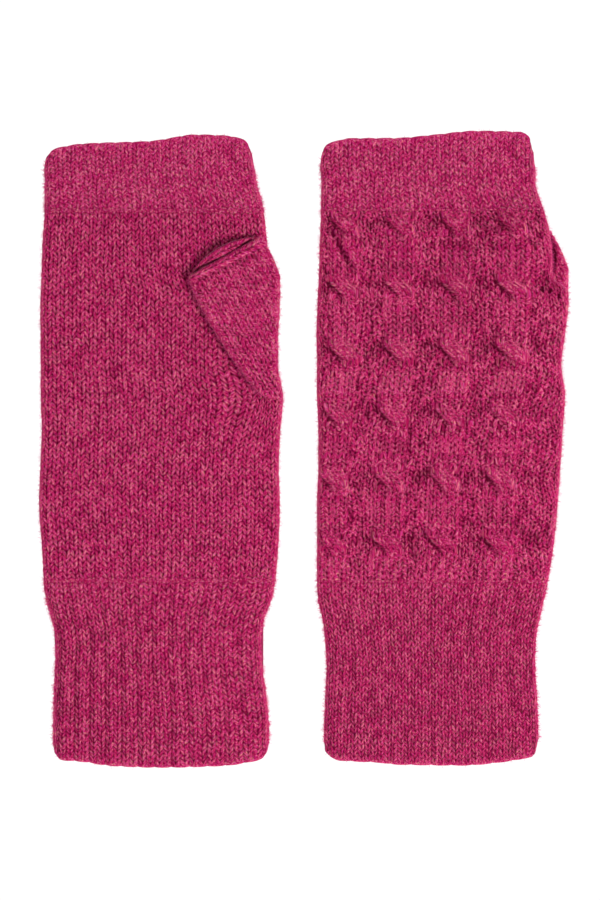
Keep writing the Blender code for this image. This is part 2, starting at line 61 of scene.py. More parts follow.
# The zones of a warmer, up from its hem, and where each warmer's middle line and hem lie
CUFF_TOP = 71.2
BAND_FOOT = 211.2
RIGHT_AT = (-54.6, -120.95)
LEFT_AT = (48.3, -120.95)

# The stitch
WALE = 3.07
COURSE = 2.06
LEG_LEAN = 0.85  # how many courses a leg climbs from the middle of its wale to the edge
SHORT_LEAN = 0.75  # and on the cables and thumbs
STEEP = 0.1  # how many more the left leg climbs there
DEPTH = 1.0  # from a leg's crown to the gap beside it
LEG_START = 0.04  # the part of half a sine wave that a leg follows along its length, and to what power
LEG_SHOWN = 0.9
LEG_POWER = 0.7
LEG_ROUND = 0.97  # its section, where 1 is the whole of half an ellipse
LEFT_LOW = 0.07  # how much lower a left leg lies, as a share of DEPTH
# The depth in a gap also darkens the wool's colour, as painted shade, the most where a leg's end meets the
# groove
END_GAP = 0.55  # how deep the gap is at a leg's end, in the groove beside it, and the more where they meet
GROOVE_GAP = 0.48
CORNER_GAP = 0.6
LEG_UNLIKE = 0.36  # how much one leg's height differs from the next one's
FOLD_CALM = 0.6  # the share of it that is lost at the outermost line of a fold
FOLD_LIGHT = 0.75  # and the share of the gaps' painted shade that is lost there and at a bound edge, which paints them lighter
EDGE_WIDE = 2.4
EDGE_CALM = 1.5  # the stitches die out over this distance at a bound edge
JOIN_WIDE = 7.0  # a rib's shade comes in over this distance from the hand
JOIN_CALM = 0.4  # how far the gaps come to their mean at a join, and over how many courses
JOIN_COURSES = 1.5
MEAN_GAP = 0.3
UNEVEN_ACROSS = 0.3  # how far a stitch strays from its place, across and up
UNEVEN_UP = 0.36
CUFF_COURSES = 35
HAND_COURSES = 68
BAND_COURSES = 14
HAND_WALES = 30
FOLD_WALES = 3  # round each side of a ribbed tube
UNDER_WALES = 26  # on the floor
SHOWN = 6  # grid columns a wale on the side that shows
UNDER = 4  # and on the side that lies on the floor
ROWS = 4  # grid rows a course, one of them in the groove between two legs

# The ribs: two or three knit wales, and a purl one that hides in the groove between them
CUFF_GROOVE = 1.05
BAND_GROOVE = 0.4
CUFF_FADE = 14.0  # a cuff's grooves come out of the hand over this distance
BAND_FADE = 8.0  # and a band's over this one, which ends BAND_FULL above its foot
BAND_FULL = 4.0
RIB_ROUND = 0.7  # the power of a sine that is a rib's section
GROOVE_SHADE = 0.2  # how much painted shade a groove gets for each millimetre of its depth
SCALLOP = 0.25  # how much further a rib's end stands out at an edge than the groove beside it
SCALLOP_ROUND = 0.6  # the power of a sine that rounds that end, and its share that lies inside the edge
SCALLOP_IN = 0.6
RIB_INSIDE = (0.0, 0.35, 1.0, 2.0, 12.0)  # how far from the edge the rows of a tube's inner side lie
PANEL_INSIDE = 36  # and the number of a panel's inner rows

# The loose fibres
FIBRES = 8500  # on each warmer
FUZZ_ASIDE = 150.0  # how many times closer they stand along its sides than on its face
FUZZ_END = 4.0  # at the hem and tip, how far from the edge they stand close, how close, and how they lean out
FUZZ_AT_END = 24.0
FUZZ_LEAN = 1.2
FUZZ_SHORTEST = 0.6
FUZZ_LONGER = 1.9  # by how much the longest is longer
FUZZ_OUT = (0.4, 1.1)  # how strongly each runs straight out, how it strays from that, and how it turns
FUZZ_STRAY = 0.5
FUZZ_TURN = 0.6
FUZZ_THICK = (0.04, 0.07)  # from its middle to a corner of its foot
FUZZ_TAPER = 0.8  # and half way up, as a share of that
FUZZ_ROOT = 0.15  # how deep its foot is in the cloth
FUZZ_LOWEST = 0.12  # over the floor
FUZZ_SHOWN = -0.5  # none stands where the cloth's normal points further down than this

# The cables on the back
CABLES = 4
CABLE_FIRST = -32.9
CABLE_PITCH = 21.1
CROSS_FIRST = 85.5
CROSS_PITCH = 24.2
STRAND_HALF = 3.1
STRAND_APART = 5.6
STRAND_RISE = 1.7
STRAIGHT_RISE = 0.25  # the share of it between crossings
GROUND = -0.6  # the height of the ground between them, in parts of STRAIGHT_RISE
CABLE_IN = 8.0  # they come out of the cuff over this distance, and go into the band over the next
CABLE_OUT = 4.0
CROSS_SPAN = 0.17  # half of a crossing's length, as a share of CROSS_PITCH
LOOSEST = 0.65  # the loosest crossing, as a share of the tightest
FRONT_HALF = 4.6  # of the front strand where it crosses
PIT = 0.8  # how deep the ground sinks beside a crossing, how far above it, and how far aside and along
PIT_AT = 0.06
PIT_HALF = 5.5
PIT_LONG = 0.2
CREASE = 0.5  # and how deep the crease is along the front strand's lower side, and how far aside and along
CREASE_HALF = 1.9
CREASE_ASIDE = 0.4
CREASE_LONG = 0.22
CROSS_RISE = 0.5  # the front strand's further rise where it crosses, as a share of STRAND_RISE
WAVER = 0.3  # how far the ground's wales stray sideways, in wales, and over what distances
WAVER_ACROSS = 9.0
WAVER_UP = 12.0
DRAWN = 0.13  # how far they bend towards a crossing, as a share of their distance from it
DRAWN_LONG = 0.4
STRAND_CALM = 0.12  # how much flatter a strand's stitches are, and where it crosses in front or is drawn out
CROSS_CALM = 0.4
STRAP_CALM = 0.35
CABLE_SHADE = 1.3  # the painted shade in the back's gaps: how dark they are beside the palm's, where they are flatter, in all, in the pits and in the creases
CALM_SHADE = 0.2
BACK_SHADE = 0.03
PIT_SHADE = 0.22
CREASE_SHADE = 0.4
CABLE_UNLIKE = 7  # how many wales on from the last cable's the random values of the next one are
CABLE_COLUMNS = 7  # grid columns a wale
CABLE_ROWS = 430

# The folded thumb
THUMB_TURN = math.radians(30)
THUMB_LONG = 52.0
THUMB_ROWS = 150
THUMB_OVER = 76  # grid columns on top, in each fold and underneath
THUMB_FOLD = 8
THUMB_UNDER = 44
THUMB_DEEP = (0.22, 0.4, 0.6, 0.75, 0.83)  # rows inside it, as shares of its length
LIP_FROM = 0.88  # and where the close rows inside its mouth begin
LIP_ROWS = 22
REST_FROM = 0.2  # the share of REST under its foot, and of its length over which that grows
REST_OVER = 0.12
FOOT_CALM = 0.1  # the share of its length over which the stitches come in
MOUTH_CALM = 1.2  # and how far from the mouth they die out
RIM_WIDE = 3.6  # the bound-off rim
RIM_RISE = 0.9
RIM_REACH = 0.7  # from its middle to the end of its rise, as a share of RIM_WIDE
RIM_GROOVE = 0.4  # how deep the groove behind it is, how far behind, how wide and how much painted shade it gets
GROOVE_PAST = 0.7
GROOVE_HALF = 1.3
RIM_SHADE = 0.15
CHAIN = 2.5  # one stitch of the rim, along the mouth
LIP_PAST = 4.0  # how far the lower lip stands out past the upper one over the palm, or the upper on the floor
LIP_RISE = 3.6  # how far that lip's inner side swells over the palm
LEFT_LIP_RISE = 0.6  # and where it lies on top
LIP_LEAST = 1.6  # the least depth over which it swells
LIP_MIDDLE = 0.4  # the swelling's middle, half of its flat top, and its slopes, as shares of the depth
LIP_FLAT = 0.2
LIP_SLOPE = 0.35
LIP_ROUND = 0.7  # the power of a parabola that the swelling follows along the mouth
LIP_STITCH = 0.6  # how high the stitches stand on it, as a share of the outer ones
INSIDE_SHADE = 0.6  # the painted shade inside the hand, and deep inside the thumb, as the depth of a gap
THUMB_INSIDE_SHADE = 0.9
SLACK = 0.8  # the air inside it, and at its mouth
MOUTH_GAP = 1.6
MOUTH_FROM = 0.85  # the air grows from this share of its length on, over the next share
MOUTH_OVER = 0.1
DRAPE = 17.0  # how far from the thumb the cloth over it comes down
HUMP = 2.0  # how high the palm rises to the thumb's base, and from how far
HUMP_REACH = 12.0
BASE_POINTS = 9  # points along that base
PLAN_POINTS = (30, 15)  # and along and across the thumb
MAP_LOW = -60.0  # the map of heights: its first x, and its points across and up, a millimetre apart
MAP_WIDE = 130
MAP_LONG = 260

Side = namedtuple("Side", "up little thumb")
Edge = namedtuple("Edge", "across up")
Section = namedtuple("Section", "inner_x inner_up outer_x outer_up thick")
Ribs = namedtuple("Ribs", "count wales lean little thumb shade")
Fan = namedtuple("Fan", "far middle half top long")
Dip = namedtuple("Dip", "x up half long deep")
Warmer = namedtuple("Warmer", "name at palm_up sides hem tip thumb cuff band fan")
Round = namedtuple("Round", "flat out rise wale leg slash")

RIGHT_SIDES = (
    Side(0.0, -41.0, 41.6),
    Side(12.5, -40.9, 41.6),
    Side(25.7, -40.7, 40.7),
    Side(39.0, -40.1, 39.0),
    Side(48.4, -39.9, 38.6),
    Side(56.0, -41.4, 39.6),
    Side(63.6, -43.5, 42.4),
    Side(71.2, -44.3, 43.9),
    Side(84.4, -45.0, 45.0),
    Side(99.5, -46.0, 45.6),
    Side(114.7, -45.6, 45.2),
    Side(127.9, -45.0, 45.8),
    Side(140.0, -45.4, 46.8),
    Side(154.0, -45.4, 44.7),
    Side(170.0, -45.6, 45.0),
    Side(181.0, -45.4, 45.0),
    Side(184.5, -45.2, 43.0),
    Side(188.0, -45.1, 41.7),
    Side(199.8, -44.7, 40.7),
    Side(213.1, -43.9, 39.2),
    Side(222.6, -43.9, 36.7),
    Side(230.1, -44.2, 36.0),
    Side(240.0, -44.2, 36.0),
)
LEFT_SIDES = (
    Side(0.0, -41.0, 41.0),
    Side(12.5, -40.9, 40.9),
    Side(25.7, -40.5, 40.5),
    Side(39.0, -39.9, 39.7),
    Side(48.4, -40.5, 39.9),
    Side(56.0, -41.4, 41.3),
    Side(63.6, -43.1, 43.0),
    Side(71.2, -43.5, 44.5),
    Side(84.4, -43.5, 46.6),
    Side(99.5, -43.5, 48.1),
    Side(114.7, -43.0, 49.2),
    Side(127.9, -43.0, 50.0),
    Side(141.2, -43.5, 50.7),
    Side(152.5, -43.5, 49.0),
    Side(163.9, -43.7, 50.3),
    Side(177.1, -43.2, 51.7),
    Side(180.6, -43.1, 51.5),
    Side(182.8, -43.0, 49.2),
    Side(185.1, -42.9, 45.9),
    Side(199.8, -42.4, 45.0),
    Side(206.0, -42.2, 43.9),
    Side(213.1, -42.0, 42.0),
    Side(222.6, -41.8, 39.7),
    Side(230.1, -42.4, 39.8),
    Side(242.0, -42.5, 39.8),
)
# The hems and the bands' edges, across the whole width with its folds, from -1 to 1
RIGHT_HEM = (
    Edge(-1.0, 8.5),
    Edge(-0.985, 4.9),
    Edge(-0.95, 3.3),
    Edge(-0.7, 2.3),
    Edge(-0.45, 0.8),
    Edge(0.0, 0.2),
    Edge(0.55, 0.8),
    Edge(0.83, 2.4),
    Edge(0.93, 3.6),
    Edge(0.975, 5.2),
    Edge(1.0, 9.0),
)
LEFT_HEM = (
    Edge(-1.0, 9.5),
    Edge(-0.985, 5.8),
    Edge(-0.94, 4.2),
    Edge(-0.85, 2.9),
    Edge(-0.5, 2.1),
    Edge(-0.3, 1.3),
    Edge(0.3, 1.0),
    Edge(0.6, 2.0),
    Edge(0.88, 3.8),
    Edge(0.955, 4.6),
    Edge(0.98, 6.6),
    Edge(1.0, 11.0),
)
RIGHT_TIP = (
    Edge(-1.0, 227.5),
    Edge(-0.985, 231.4),
    Edge(-0.955, 233.2),
    Edge(-0.83, 235.4),
    Edge(-0.6, 236.7),
    Edge(0.0, 237.6),
    Edge(0.45, 240.1),
    Edge(0.75, 239.6),
    Edge(0.9, 238.0),
    Edge(0.955, 235.7),
    Edge(0.985, 232.0),
    Edge(1.0, 227.0),
)
LEFT_TIP = (
    Edge(-1.0, 229.0),
    Edge(-0.98, 234.0),
    Edge(-0.94, 236.2),
    Edge(-0.7, 238.7),
    Edge(-0.3, 238.8),
    Edge(0.05, 240.0),
    Edge(0.45, 241.5),
    Edge(0.84, 241.1),
    Edge(0.92, 239.8),
    Edge(0.965, 236.0),
    Edge(1.0, 228.0),
)
# From the palm out to the mouth: the end of each section over the palm, its end at the side, its thickness
RIGHT_THUMB = (
    Section(38.6, 141.2, 46.6, 138.6, 1.6),
    Section(34.8, 145.0, 45.9, 144.0, 3.4),
    Section(30.7, 150.3, 45.0, 151.4, 4.8),
    Section(25.4, 157.8, 45.0, 161.2, 5.2),
    Section(20.4, 165.4, 45.6, 172.6, 5.2),
    Section(15.9, 173.4, 45.8, 184.3, 5.2),
    Section(12.5, 180.5, 43.1, 193.0, 5.4),
    Section(10.8, 186.0, 38.6, 201.4, 5.8),
)
LEFT_THUMB = (
    Section(44.7, 143.8, 50.9, 141.6, 1.6),
    Section(41.3, 148.0, 49.9, 146.9, 3.4),
    Section(37.1, 153.3, 49.2, 154.4, 4.8),
    Section(31.8, 160.9, 50.4, 164.3, 5.2),
    Section(26.9, 168.4, 51.6, 175.7, 5.2),
    Section(22.3, 176.4, 52.3, 187.3, 5.2),
    Section(18.9, 183.6, 49.6, 196.1, 5.2),
    Section(17.0, 189.3, 45.0, 204.4, 4.4),
)
# How far the cables lean from straight up, from the cuff to the band
LEAN_UP = (CUFF_TOP, 85.5, 110.0, 134.0, 158.0, BAND_FOOT)
LEAN_ACROSS = (-5.4, -4.9, -4.2, -2.4, -0.4, 0.0)

# The wales bend sideways to the base of the thumb: how far, and where they bend most
RIGHT_FAN = Fan(4.6, 31.5, 13.0, 146.0, 30.0)
LEFT_FAN = Fan(1.6, 40.5, 9.0, 182.0, 26.0)
# Where the left thumb is picked up from the hand, the knitting leaves small holes, each drawn out downwards
CROTCH = (
    Dip(39.9, 181.6, 0.95, 2.4, 1.4),
    Dip(43.4, 181.0, 0.95, 2.4, 1.3),
    Dip(47.5, 179.0, 0.95, 2.6, 1.3),
)
CROTCH_DEEPEST = 1.2  # none is deeper
# The first cable's front strand runs on between its two highest crossings, over a long crease
LONG_CREASE = (
    Edge(-28.2, 185.9),
    Edge(-34.2, 196.6),
    Edge(-39.6, 207.4),
)
CREASE_REACH = 14.0  # from the middle of that crease to its ends
CREASE_MORE = 1.3  # how deep it is, in parts of CREASE
STRAP_ASIDE = 3.2  # from the crease to the middle of the strand above it
STRAP_HALF = 3.6
STRAP_RISE = 0.45
# The thumb's mouth gapes beside the hand's edge: the middle of the gap, from its lower end up
SLIT_UP = (186.0, 188.0, 192.0, 197.0, 203.0)
SLIT_X = (44.9, 45.6, 46.4, 46.4, 44.9)
SLIT_HALF = 1.5
SLIT_DEEP = 1.1
SLIT_FOOT = 1.5  # the gap deepens over this distance at its lower end, and over the next at its upper one
SLIT_HEAD = 3.0

# The wool. Noise runs over the map of wales and courses, at so many cells for each of them
WOOL_SURFACE = {
    "Roughness": 0.85,
    "Specular IOR Level": 0.03,
    "Sheen Weight": 0.6,
    "Sheen Roughness": 0.25,
    "Sheen Tint": (1.0, 0.5, 0.72, 1.0),
}
FIBRE_CELLS = (4.8, 4.0, 1.0)
DYE_CELLS = (5.4, 4.4, 1.0)
DYE_SHIFT = (31.0, 17.0, 0.0)
LEG_CELLS = (2.0, 1.0, 1.0)
BROAD_CELLS = 0.35
FIBRE_SHARE = 1.2  # how much the fibres, the legs and the broad noise weigh, and what is taken off
LEG_SHARE = 0.2
BROAD_SHARE = 0.08
SHADE_LESS = 0.24
WOOL_STOPS = (
    (0.22, (0.27, 0.002, 0.050)),
    (0.42, (0.42, 0.010, 0.094)),
    (0.58, (0.54, 0.040, 0.145)),
    (0.72, (0.62, 0.110, 0.212)),
    (0.86, (0.65, 0.190, 0.205)),
)
DYE_STOPS = (
    (0.32, (0.97, 0.72, 1.25)),
    (0.68, (1.0, 1.34, 0.80)),
)
# Painted shade between the stitches: the deeper a place lies in a gap, the nearer its colour comes to a dark
# one
GAP_LIGHT = 0.15  # where the painted shade in a gap starts, and where it is darkest
GAP_DARK = 0.8
GAP_SHADE_COLOUR = (0.06, 0.0, 0.01, 1.0)
FUZZ_COLOUR = (0.85, 0.07, 0.3)
FUZZ_DARKER = 0.75  # the share of it at the darkest fibres

# The studio, in metres
FLOOR_WIDE = 6.0
FLOOR_UNDER = 0.0004
FLOOR_LIGHT = 1.3  # how strongly it shines on the cloth, and to the camera
FLOOR_SEEN = 1.06
ROOM_LIGHT = 0.55
LAMP_AT = (0.65, -0.42, 1.2)
LAMP_WIDE = 0.5
LAMP_POWER = 18.5
VIEW_CENTRE = (-0.0015, -0.0004)
VIEW_LENGTH = 0.34065  # of the floor, up the picture
CAMERA_LENS = 100.0
SENSOR_WIDE = 36.0

RIGHT = Warmer(
    "right", RIGHT_AT, True, RIGHT_SIDES, RIGHT_HEM, RIGHT_TIP, RIGHT_THUMB,
    Ribs(12, 2, 0.35, 1.0, 0.4, 0.0), Ribs(12, 2, 0.0, 1.0, 1.0, -0.1), RIGHT_FAN,
)
LEFT = Warmer(
    "left", LEFT_AT, False, LEFT_SIDES, LEFT_HEM, LEFT_TIP, LEFT_THUMB,
    Ribs(10, 3, 0.0, 0.35, 0.5, 0.06), Ribs(12, 2, 0.0, 1.0, 1.0, -0.06), LEFT_FAN,
)

RNG = np.random.default_rng(7)


# ---- curves and shares -------------------------------------------------------------------------------------


def smooth(at, places, values):
    """A curve through a table's rows, in cubic pieces that never swing past them."""
    places, values = np.asarray(places, float), np.asarray(values, float)
    step = np.diff(places)
    slope = np.diff(values) / step
    before, after = slope[:-1], slope[1:]
    same_way = before * after > 0
    tangent = np.concatenate([slope[:1], np.zeros(len(values) - 2), slope[-1:]])
    tangent[1:-1][same_way] = 2 * (before * after)[same_way] / (before + after)[same_way]
    at = np.clip(at, places[0], places[-1])
    i = np.clip(np.searchsorted(places, at) - 1, 0, len(step) - 1)
    t = (at - places[i]) / step[i]
    rise = values[i] * (1 + 2 * t) * (1 - t) ** 2 + values[i + 1] * t * t * (3 - 2 * t)
    return rise + step[i] * t * (1 - t) * (tangent[i] * (1 - t) - tangent[i + 1] * t)


def column(table, name):
    """One named column of a table."""
    return [getattr(row, name) for row in table]


def fall(distance, reach):
    """1 at no distance or less, and 0 from reach on, along half a cosine wave."""
    return 0.5 + 0.5 * np.cos(math.pi * np.clip(distance / reach, 0.0, 1.0))


def speckle(*cells):
    """A number from 0 to 1 for each cell: the fraction left of a large multiple of a sine of its indices."""
    mixed = sum(cell * factor for cell, factor in zip(cells, (12.9898, 78.233, 37.719)))
    return np.mod(np.sin(mixed) * 43758.5453, 1.0)


def uneven(u, v, kind):
    """A smooth irregular wave from -1 to 1: a random value at each whole place, blended between them."""
    i, j = np.floor(u), np.floor(v)
    s, t = u - i, v - j
    s, t = s * s * (3 - 2 * s), t * t * (3 - 2 * t)
    low = speckle(i, j, kind) * (1 - s) + speckle(i + 1, j, kind) * s
    high = speckle(i, j + 1, kind) * (1 - s) + speckle(i + 1, j + 1, kind) * s
    return 2 * (low * (1 - t) + high * t) - 1


# ---- the stitch --------------------------------------------------------------------------------------------


def leg_of(wale):
    """Where a place lies on its stitch's leg: 0 in the middle of its wale and 1 at its edge."""
    return np.abs(2 * (wale - np.round(wale)))


def stitch_height(wale, leg, slash, phase):
    """The relief of one leg, and how deep in a gap it is, from 0 to 1, which darkens the wool as painted
    shade.

    A leg is a round strand, so its section is half an ellipse over one course of phase. Along its length it
    comes up out of the stitch below at the middle of the wale, and tucks under the next one at the edge, as
    part of a sine. Where a leg's end meets the groove to the next leg, the gap is deepest. Left legs lie a
    little lower than right ones, and each leg is higher or lower than the next.
    """
    size = speckle(np.floor(2 * wale + 1e-6), np.floor(phase + 1e-6))
    end = 1 - np.sin(math.pi * (LEG_START + LEG_SHOWN * leg)) ** LEG_POWER
    groove = 1 - np.sqrt(1 - LEG_ROUND * (2 * np.mod(phase, 1.0) - 1) ** 2)
    gap = LEFT_LOW * (1 - slash) + END_GAP * end + GROOVE_GAP * groove + CORNER_GAP * end * groove
    gap = np.clip(gap + LEG_UNLIKE * (size - 0.5), 0, 1)
    return -DEPTH * gap, gap


def short_stitch(wale, row, shift):
    """A stitch on the cables or thumbs: its course, its relief and how deep in a gap each place is.

    Its course is the row less what its leg has climbed. shift gives each cable its own random values.
    """
    leg, slash = leg_of(wale), (wale > np.round(wale)) * 1.0
    climb = SHORT_LEAN * (leg - 0.5) + STEEP * (leg - 0.5) * (1 - slash)
    return (row - climb, *stitch_height(wale + shift, leg, slash, row - climb))


# ---- places round a flattened tube -------------------------------------------------------------------------


def half_round(wales, per_wale, under=False):
    """A panel's columns, from the thumb's side at mid height over the top, or underneath the other way.

    The folds take their true share of the width, and the straight layer between them the rest.
    """
    wale = np.arange(wales * per_wale + 1) / per_wale - 0.5
    share = (wale + 0.5) / wales
    in_fold = 0.5 * math.pi * FOLD / (wales * WALE)
    first = 0.5 * math.pi * np.clip(share / in_fold, 0, 1)
    last = 0.5 * math.pi * np.clip((1 - share) / in_fold, 0, 1)
    flat = 1 - 2 * np.clip((share - in_fold) / (1 - 2 * in_fold), 0, 1)
    out, rise = np.cos(first) - np.cos(last), np.minimum(np.sin(first), np.sin(last))
    middle = np.round(wale)
    slash = (wale < middle) * 1.0
    if under:
        flat, out, rise = -flat, -out, -rise
    return Round(flat, out, rise, wale, leg_of(wale), slash)


def knit_run(count, per_wale, first):
    """The wale, leg and side of each column of a run of wales, its end left out."""
    wale = np.arange(count * per_wale) / per_wale - 0.5
    return wale + first, leg_of(wale), (wale < np.round(wale)) * 1.0


def rib_place(ribs, flat):
    """How many ribs lie between the little finger's side and a place, with closer ones where they lean."""
    return ribs.count * 0.5 * (1 + flat) + ribs.lean * (1 - flat * flat)


def ribbed_round(ribs):
    """A ribbed tube's columns all the way round: ribs on top, a fold, plain wales underneath and a fold."""
    fine = np.linspace(-1.0, 1.0, 2001)
    wale, leg, slash = knit_run(ribs.count * ribs.wales, SHOWN, 0.0)
    place = ribs.count - (wale + 0.5) / ribs.wales
    flat = np.interp(place, rib_place(ribs, fine), fine)
    sections = [(flat, 0 * flat, 1 + 0 * flat, wale, leg, slash)]
    first = float(ribs.count * ribs.wales)
    for side, count, per_wale in ((-1, FOLD_WALES, SHOWN), (0, UNDER_WALES, UNDER), (1, FOLD_WALES, SHOWN)):
        sections.append((*part_round(side, count * per_wale), *knit_run(count, per_wale, first)))
        first += count
    return Round(*(np.concatenate(parts) for parts in zip(*sections)))


def part_round(side, count):
    """Places over half a circle at a side of a tube, -1 or 1, or along its lower layer, for 0."""
    share = np.arange(count) / count
    if side == 0:
        return 2 * share - 1, 0 * share, -1 + 0 * share
    angle = math.pi * (share - 0.5)
    return side + 0 * share, side * np.cos(angle), side * np.sin(angle)


# ---- the folded thumb and what it lifts --------------------------------------------------------------------


def thumb_section(warmer, along):
    """The ends of the thumb's section and its thickness, a share along it from the palm to its mouth."""
    rows = np.linspace(0.0, 1.0, len(warmer.thumb))
    return [smooth(along, rows, column(warmer.thumb, name)) for name in Section._fields]


def thumb_plan(warmer, along, across, past=0.0):
    """Where a point of the thumb lies from above: across its section, and past its mouth along the thumb."""
    inner_x, inner_up, outer_x, outer_up, _ = thumb_section(warmer, along)
    middle = 0.5 + 0.5 * across
    x = inner_x + (outer_x - inner_x) * middle
    up = inner_up + (outer_up - inner_up) * middle
    mouth = warmer.thumb[-1]
    wide = math.hypot(mouth.outer_x - mouth.inner_x, mouth.outer_up - mouth.inner_up)
    grown = past * along**3 * (1 - across**2)
    x = x - grown * (mouth.outer_up - mouth.inner_up) / wide
    return x, up + grown * (mouth.outer_x - mouth.inner_x) / wide


def lift_map(warmer):
    """Heights that the folded thumb gives the cloth, on a millimetre grid over the warmer.

    On the one that lies palm up, the palm rises where the thumb grows out of it. The other lies on its own
    thumb: the cloth is as high as the thumb's nearest point, and comes down from it as half a cosine.
    """
    x, up = np.meshgrid(MAP_LOW + np.arange(MAP_WIDE), 1.0 * np.arange(MAP_LONG), indexing="ij")
    if warmer.palm_up:
        at_x, at_up = thumb_plan(warmer, np.zeros(BASE_POINTS), np.linspace(-1, 1, BASE_POINTS))
        away = np.hypot(x[..., None] - at_x, up[..., None] - at_up).min(axis=-1)
        return HUMP * fall(away, HUMP_REACH)
    shares = np.linspace(0, 1, PLAN_POINTS[0]), np.linspace(-1, 1, PLAN_POINTS[1])
    along, across = np.meshgrid(*shares, indexing="ij")
    at_x, at_up = thumb_plan(warmer, along, across, LIP_PAST)
    thick = thumb_section(warmer, along)[4].ravel()
    away = np.hypot(x[..., None] - at_x.ravel(), up[..., None] - at_up.ravel())
    return (thick[away.argmin(axis=-1)] + REST) * fall(away.min(axis=-1), DRAPE)


def from_map(heights, x, up):
    """A height between a millimetre grid's points, in proportion to how near each is."""
    i, j = np.clip(x - MAP_LOW, 0, MAP_WIDE - 1.001), np.clip(up, 0, MAP_LONG - 1.001)
    i0, j0 = i.astype(int), j.astype(int)
    s, t = i - i0, j - j0
    low = heights[i0, j0] * (1 - t) + heights[i0, j0 + 1] * t
    high = heights[i0 + 1, j0] * (1 - t) + heights[i0 + 1, j0 + 1] * t
    return low * (1 - s) + high * s


LIFT = {warmer.name: lift_map(warmer) for warmer in (RIGHT, LEFT)}


def lift(warmer, x, up, rise):
    """How far the folded thumb raises the cloth: the top layer over a hump, or both layers over the thumb."""
    height = from_map(LIFT[warmer.name], x, up)
    return height * np.clip(rise, 0.0, 1.0) if warmer.palm_up else height


# ---- the flattened tube ------------------------------------------------------------------------------------


def bent(fan, x, up):
    """How far the wales bend to the side near the thumb's base: half a cosine both across and up."""
    return fan.far * fall(np.abs(x - fan.middle), fan.half) * fall(np.abs(up - fan.top), fan.long)


def cloth(warmer, around, up, radius, relief=0.0):
    """Points of a flattened tube's wall: each layer is straight between two folds of the given radius.

    relief moves the points out along the wall's own normal.
    """
    little = smooth(up, column(warmer.sides, "up"), column(warmer.sides, "little"))
    thumb = smooth(up, column(warmer.sides, "up"), column(warmer.sides, "thumb"))
    centre, reach = 0.5 * (little + thumb), 0.5 * (thumb - little) - FOLD
    x = centre + reach * around.flat + (radius + relief) * around.out
    x = x + UNEVEN_ACROSS * uneven(around.wale, up / COURSE, 2) * np.abs(around.rise)
    if warmer.palm_up:
        x = x + bent(warmer.fan, x, up) * np.clip(around.rise, 0.0, 1.0)
    z = FOLD + (radius + relief) * around.rise
    return np.stack([x, up, z + lift(warmer, x, up, around.rise)], axis=-1)


def zigzag(around, courses):
    """The course of each point of a grid whose rows follow the legs, higher at a wale's edge than within.

    The zigzag dies out over the last course at both ends, so that the rows there are straight.
    """
    straight = np.linspace(0.0, courses, courses * ROWS + 1)[:, None] + 0 * around.flat
    from_end = np.minimum(straight, courses - straight)
    lean = LEG_LEAN * (around.leg - 0.5) + UNEVEN_UP * uneven(around.wale, straight, 1)
    return straight + lean * (1 - fall(from_end, 1.0)), straight


def knit(around, straight, courses):
    """The relief of plain or ribbed knitting on a zigzag grid, and how deep in a gap each point is.

    Towards a join, where the rows run straight, the gaps come closer to their mean.
    """
    relief, gap = stitch_height(around.wale + 0 * straight, around.leg, around.slash, straight + 0.5)
    from_end = np.minimum(straight, courses - straight)
    gap = gap + JOIN_CALM * fall(from_end, JOIN_COURSES) * (MEAN_GAP - gap)
    return relief * (1 - FOLD_CALM * around.out**2), gap * (1 - FOLD_LIGHT * around.out**2)


def rounded(from_edge):
    """How far a wall's side falls back near its bound edge, along a quarter of a circle of half the wall."""
    radius = 0.5 * WALL - LIP
    t = np.clip(1 - from_edge / radius, 0, 1)
    return radius * (1 - np.sqrt(1 - t * t))


# ---- meshes ------------------------------------------------------------------------------------------------


def placed(warmer, points):
    """Points of a warmer at their place on the floor, in metres."""
    return (points + (*warmer.at, 0.0)) * MM


def cells(index, closed):
    """The corners of a grid's cells, closed round its columns or not, so that they face out of the cloth."""
    if closed:
        index = np.concatenate([index, index[:, :1]], axis=1)
    return np.stack([index[:-1, :-1], index[1:, :-1], index[1:, 1:], index[:-1, 1:]], axis=-1).reshape(-1, 4)


def strip(first, second):
    """Cells between two rows of points of the same count, facing the side on which first runs ahead."""
    return np.stack([second[:-1], first[:-1], first[1:], second[1:]], axis=-1)


def zipper(many, few, flip):
    """Triangles between a long and a short column of points, each few taking the many nearest to it."""
    segment = np.arange(len(many) - 1)
    near = np.round((segment + 0.5) * (len(few) - 1) / (len(many) - 1)).astype(int)
    turns = np.searchsorted(near, np.arange(1, len(few)))
    first = np.stack([many[1:], many[:-1], few[near]], axis=-1)
    second = np.stack([few[:-1], few[1:], many[turns]], axis=-1)
    faces = np.concatenate([first, second])
    return faces[:, ::-1] if flip else faces


def round_again(line):
    """A loop's vertices, with the first one again at the end."""
    return np.append(line, line[0])


def numbered(outer, inner):
    """The vertex numbers of an outer grid and of the inner one that follows it."""
    names = np.arange(outer.shape[0] * outer.shape[1]).reshape(outer.shape[:2])
    within = names.size + np.arange(inner.shape[0] * inner.shape[1]).reshape(inner.shape[:2])
    return names, within


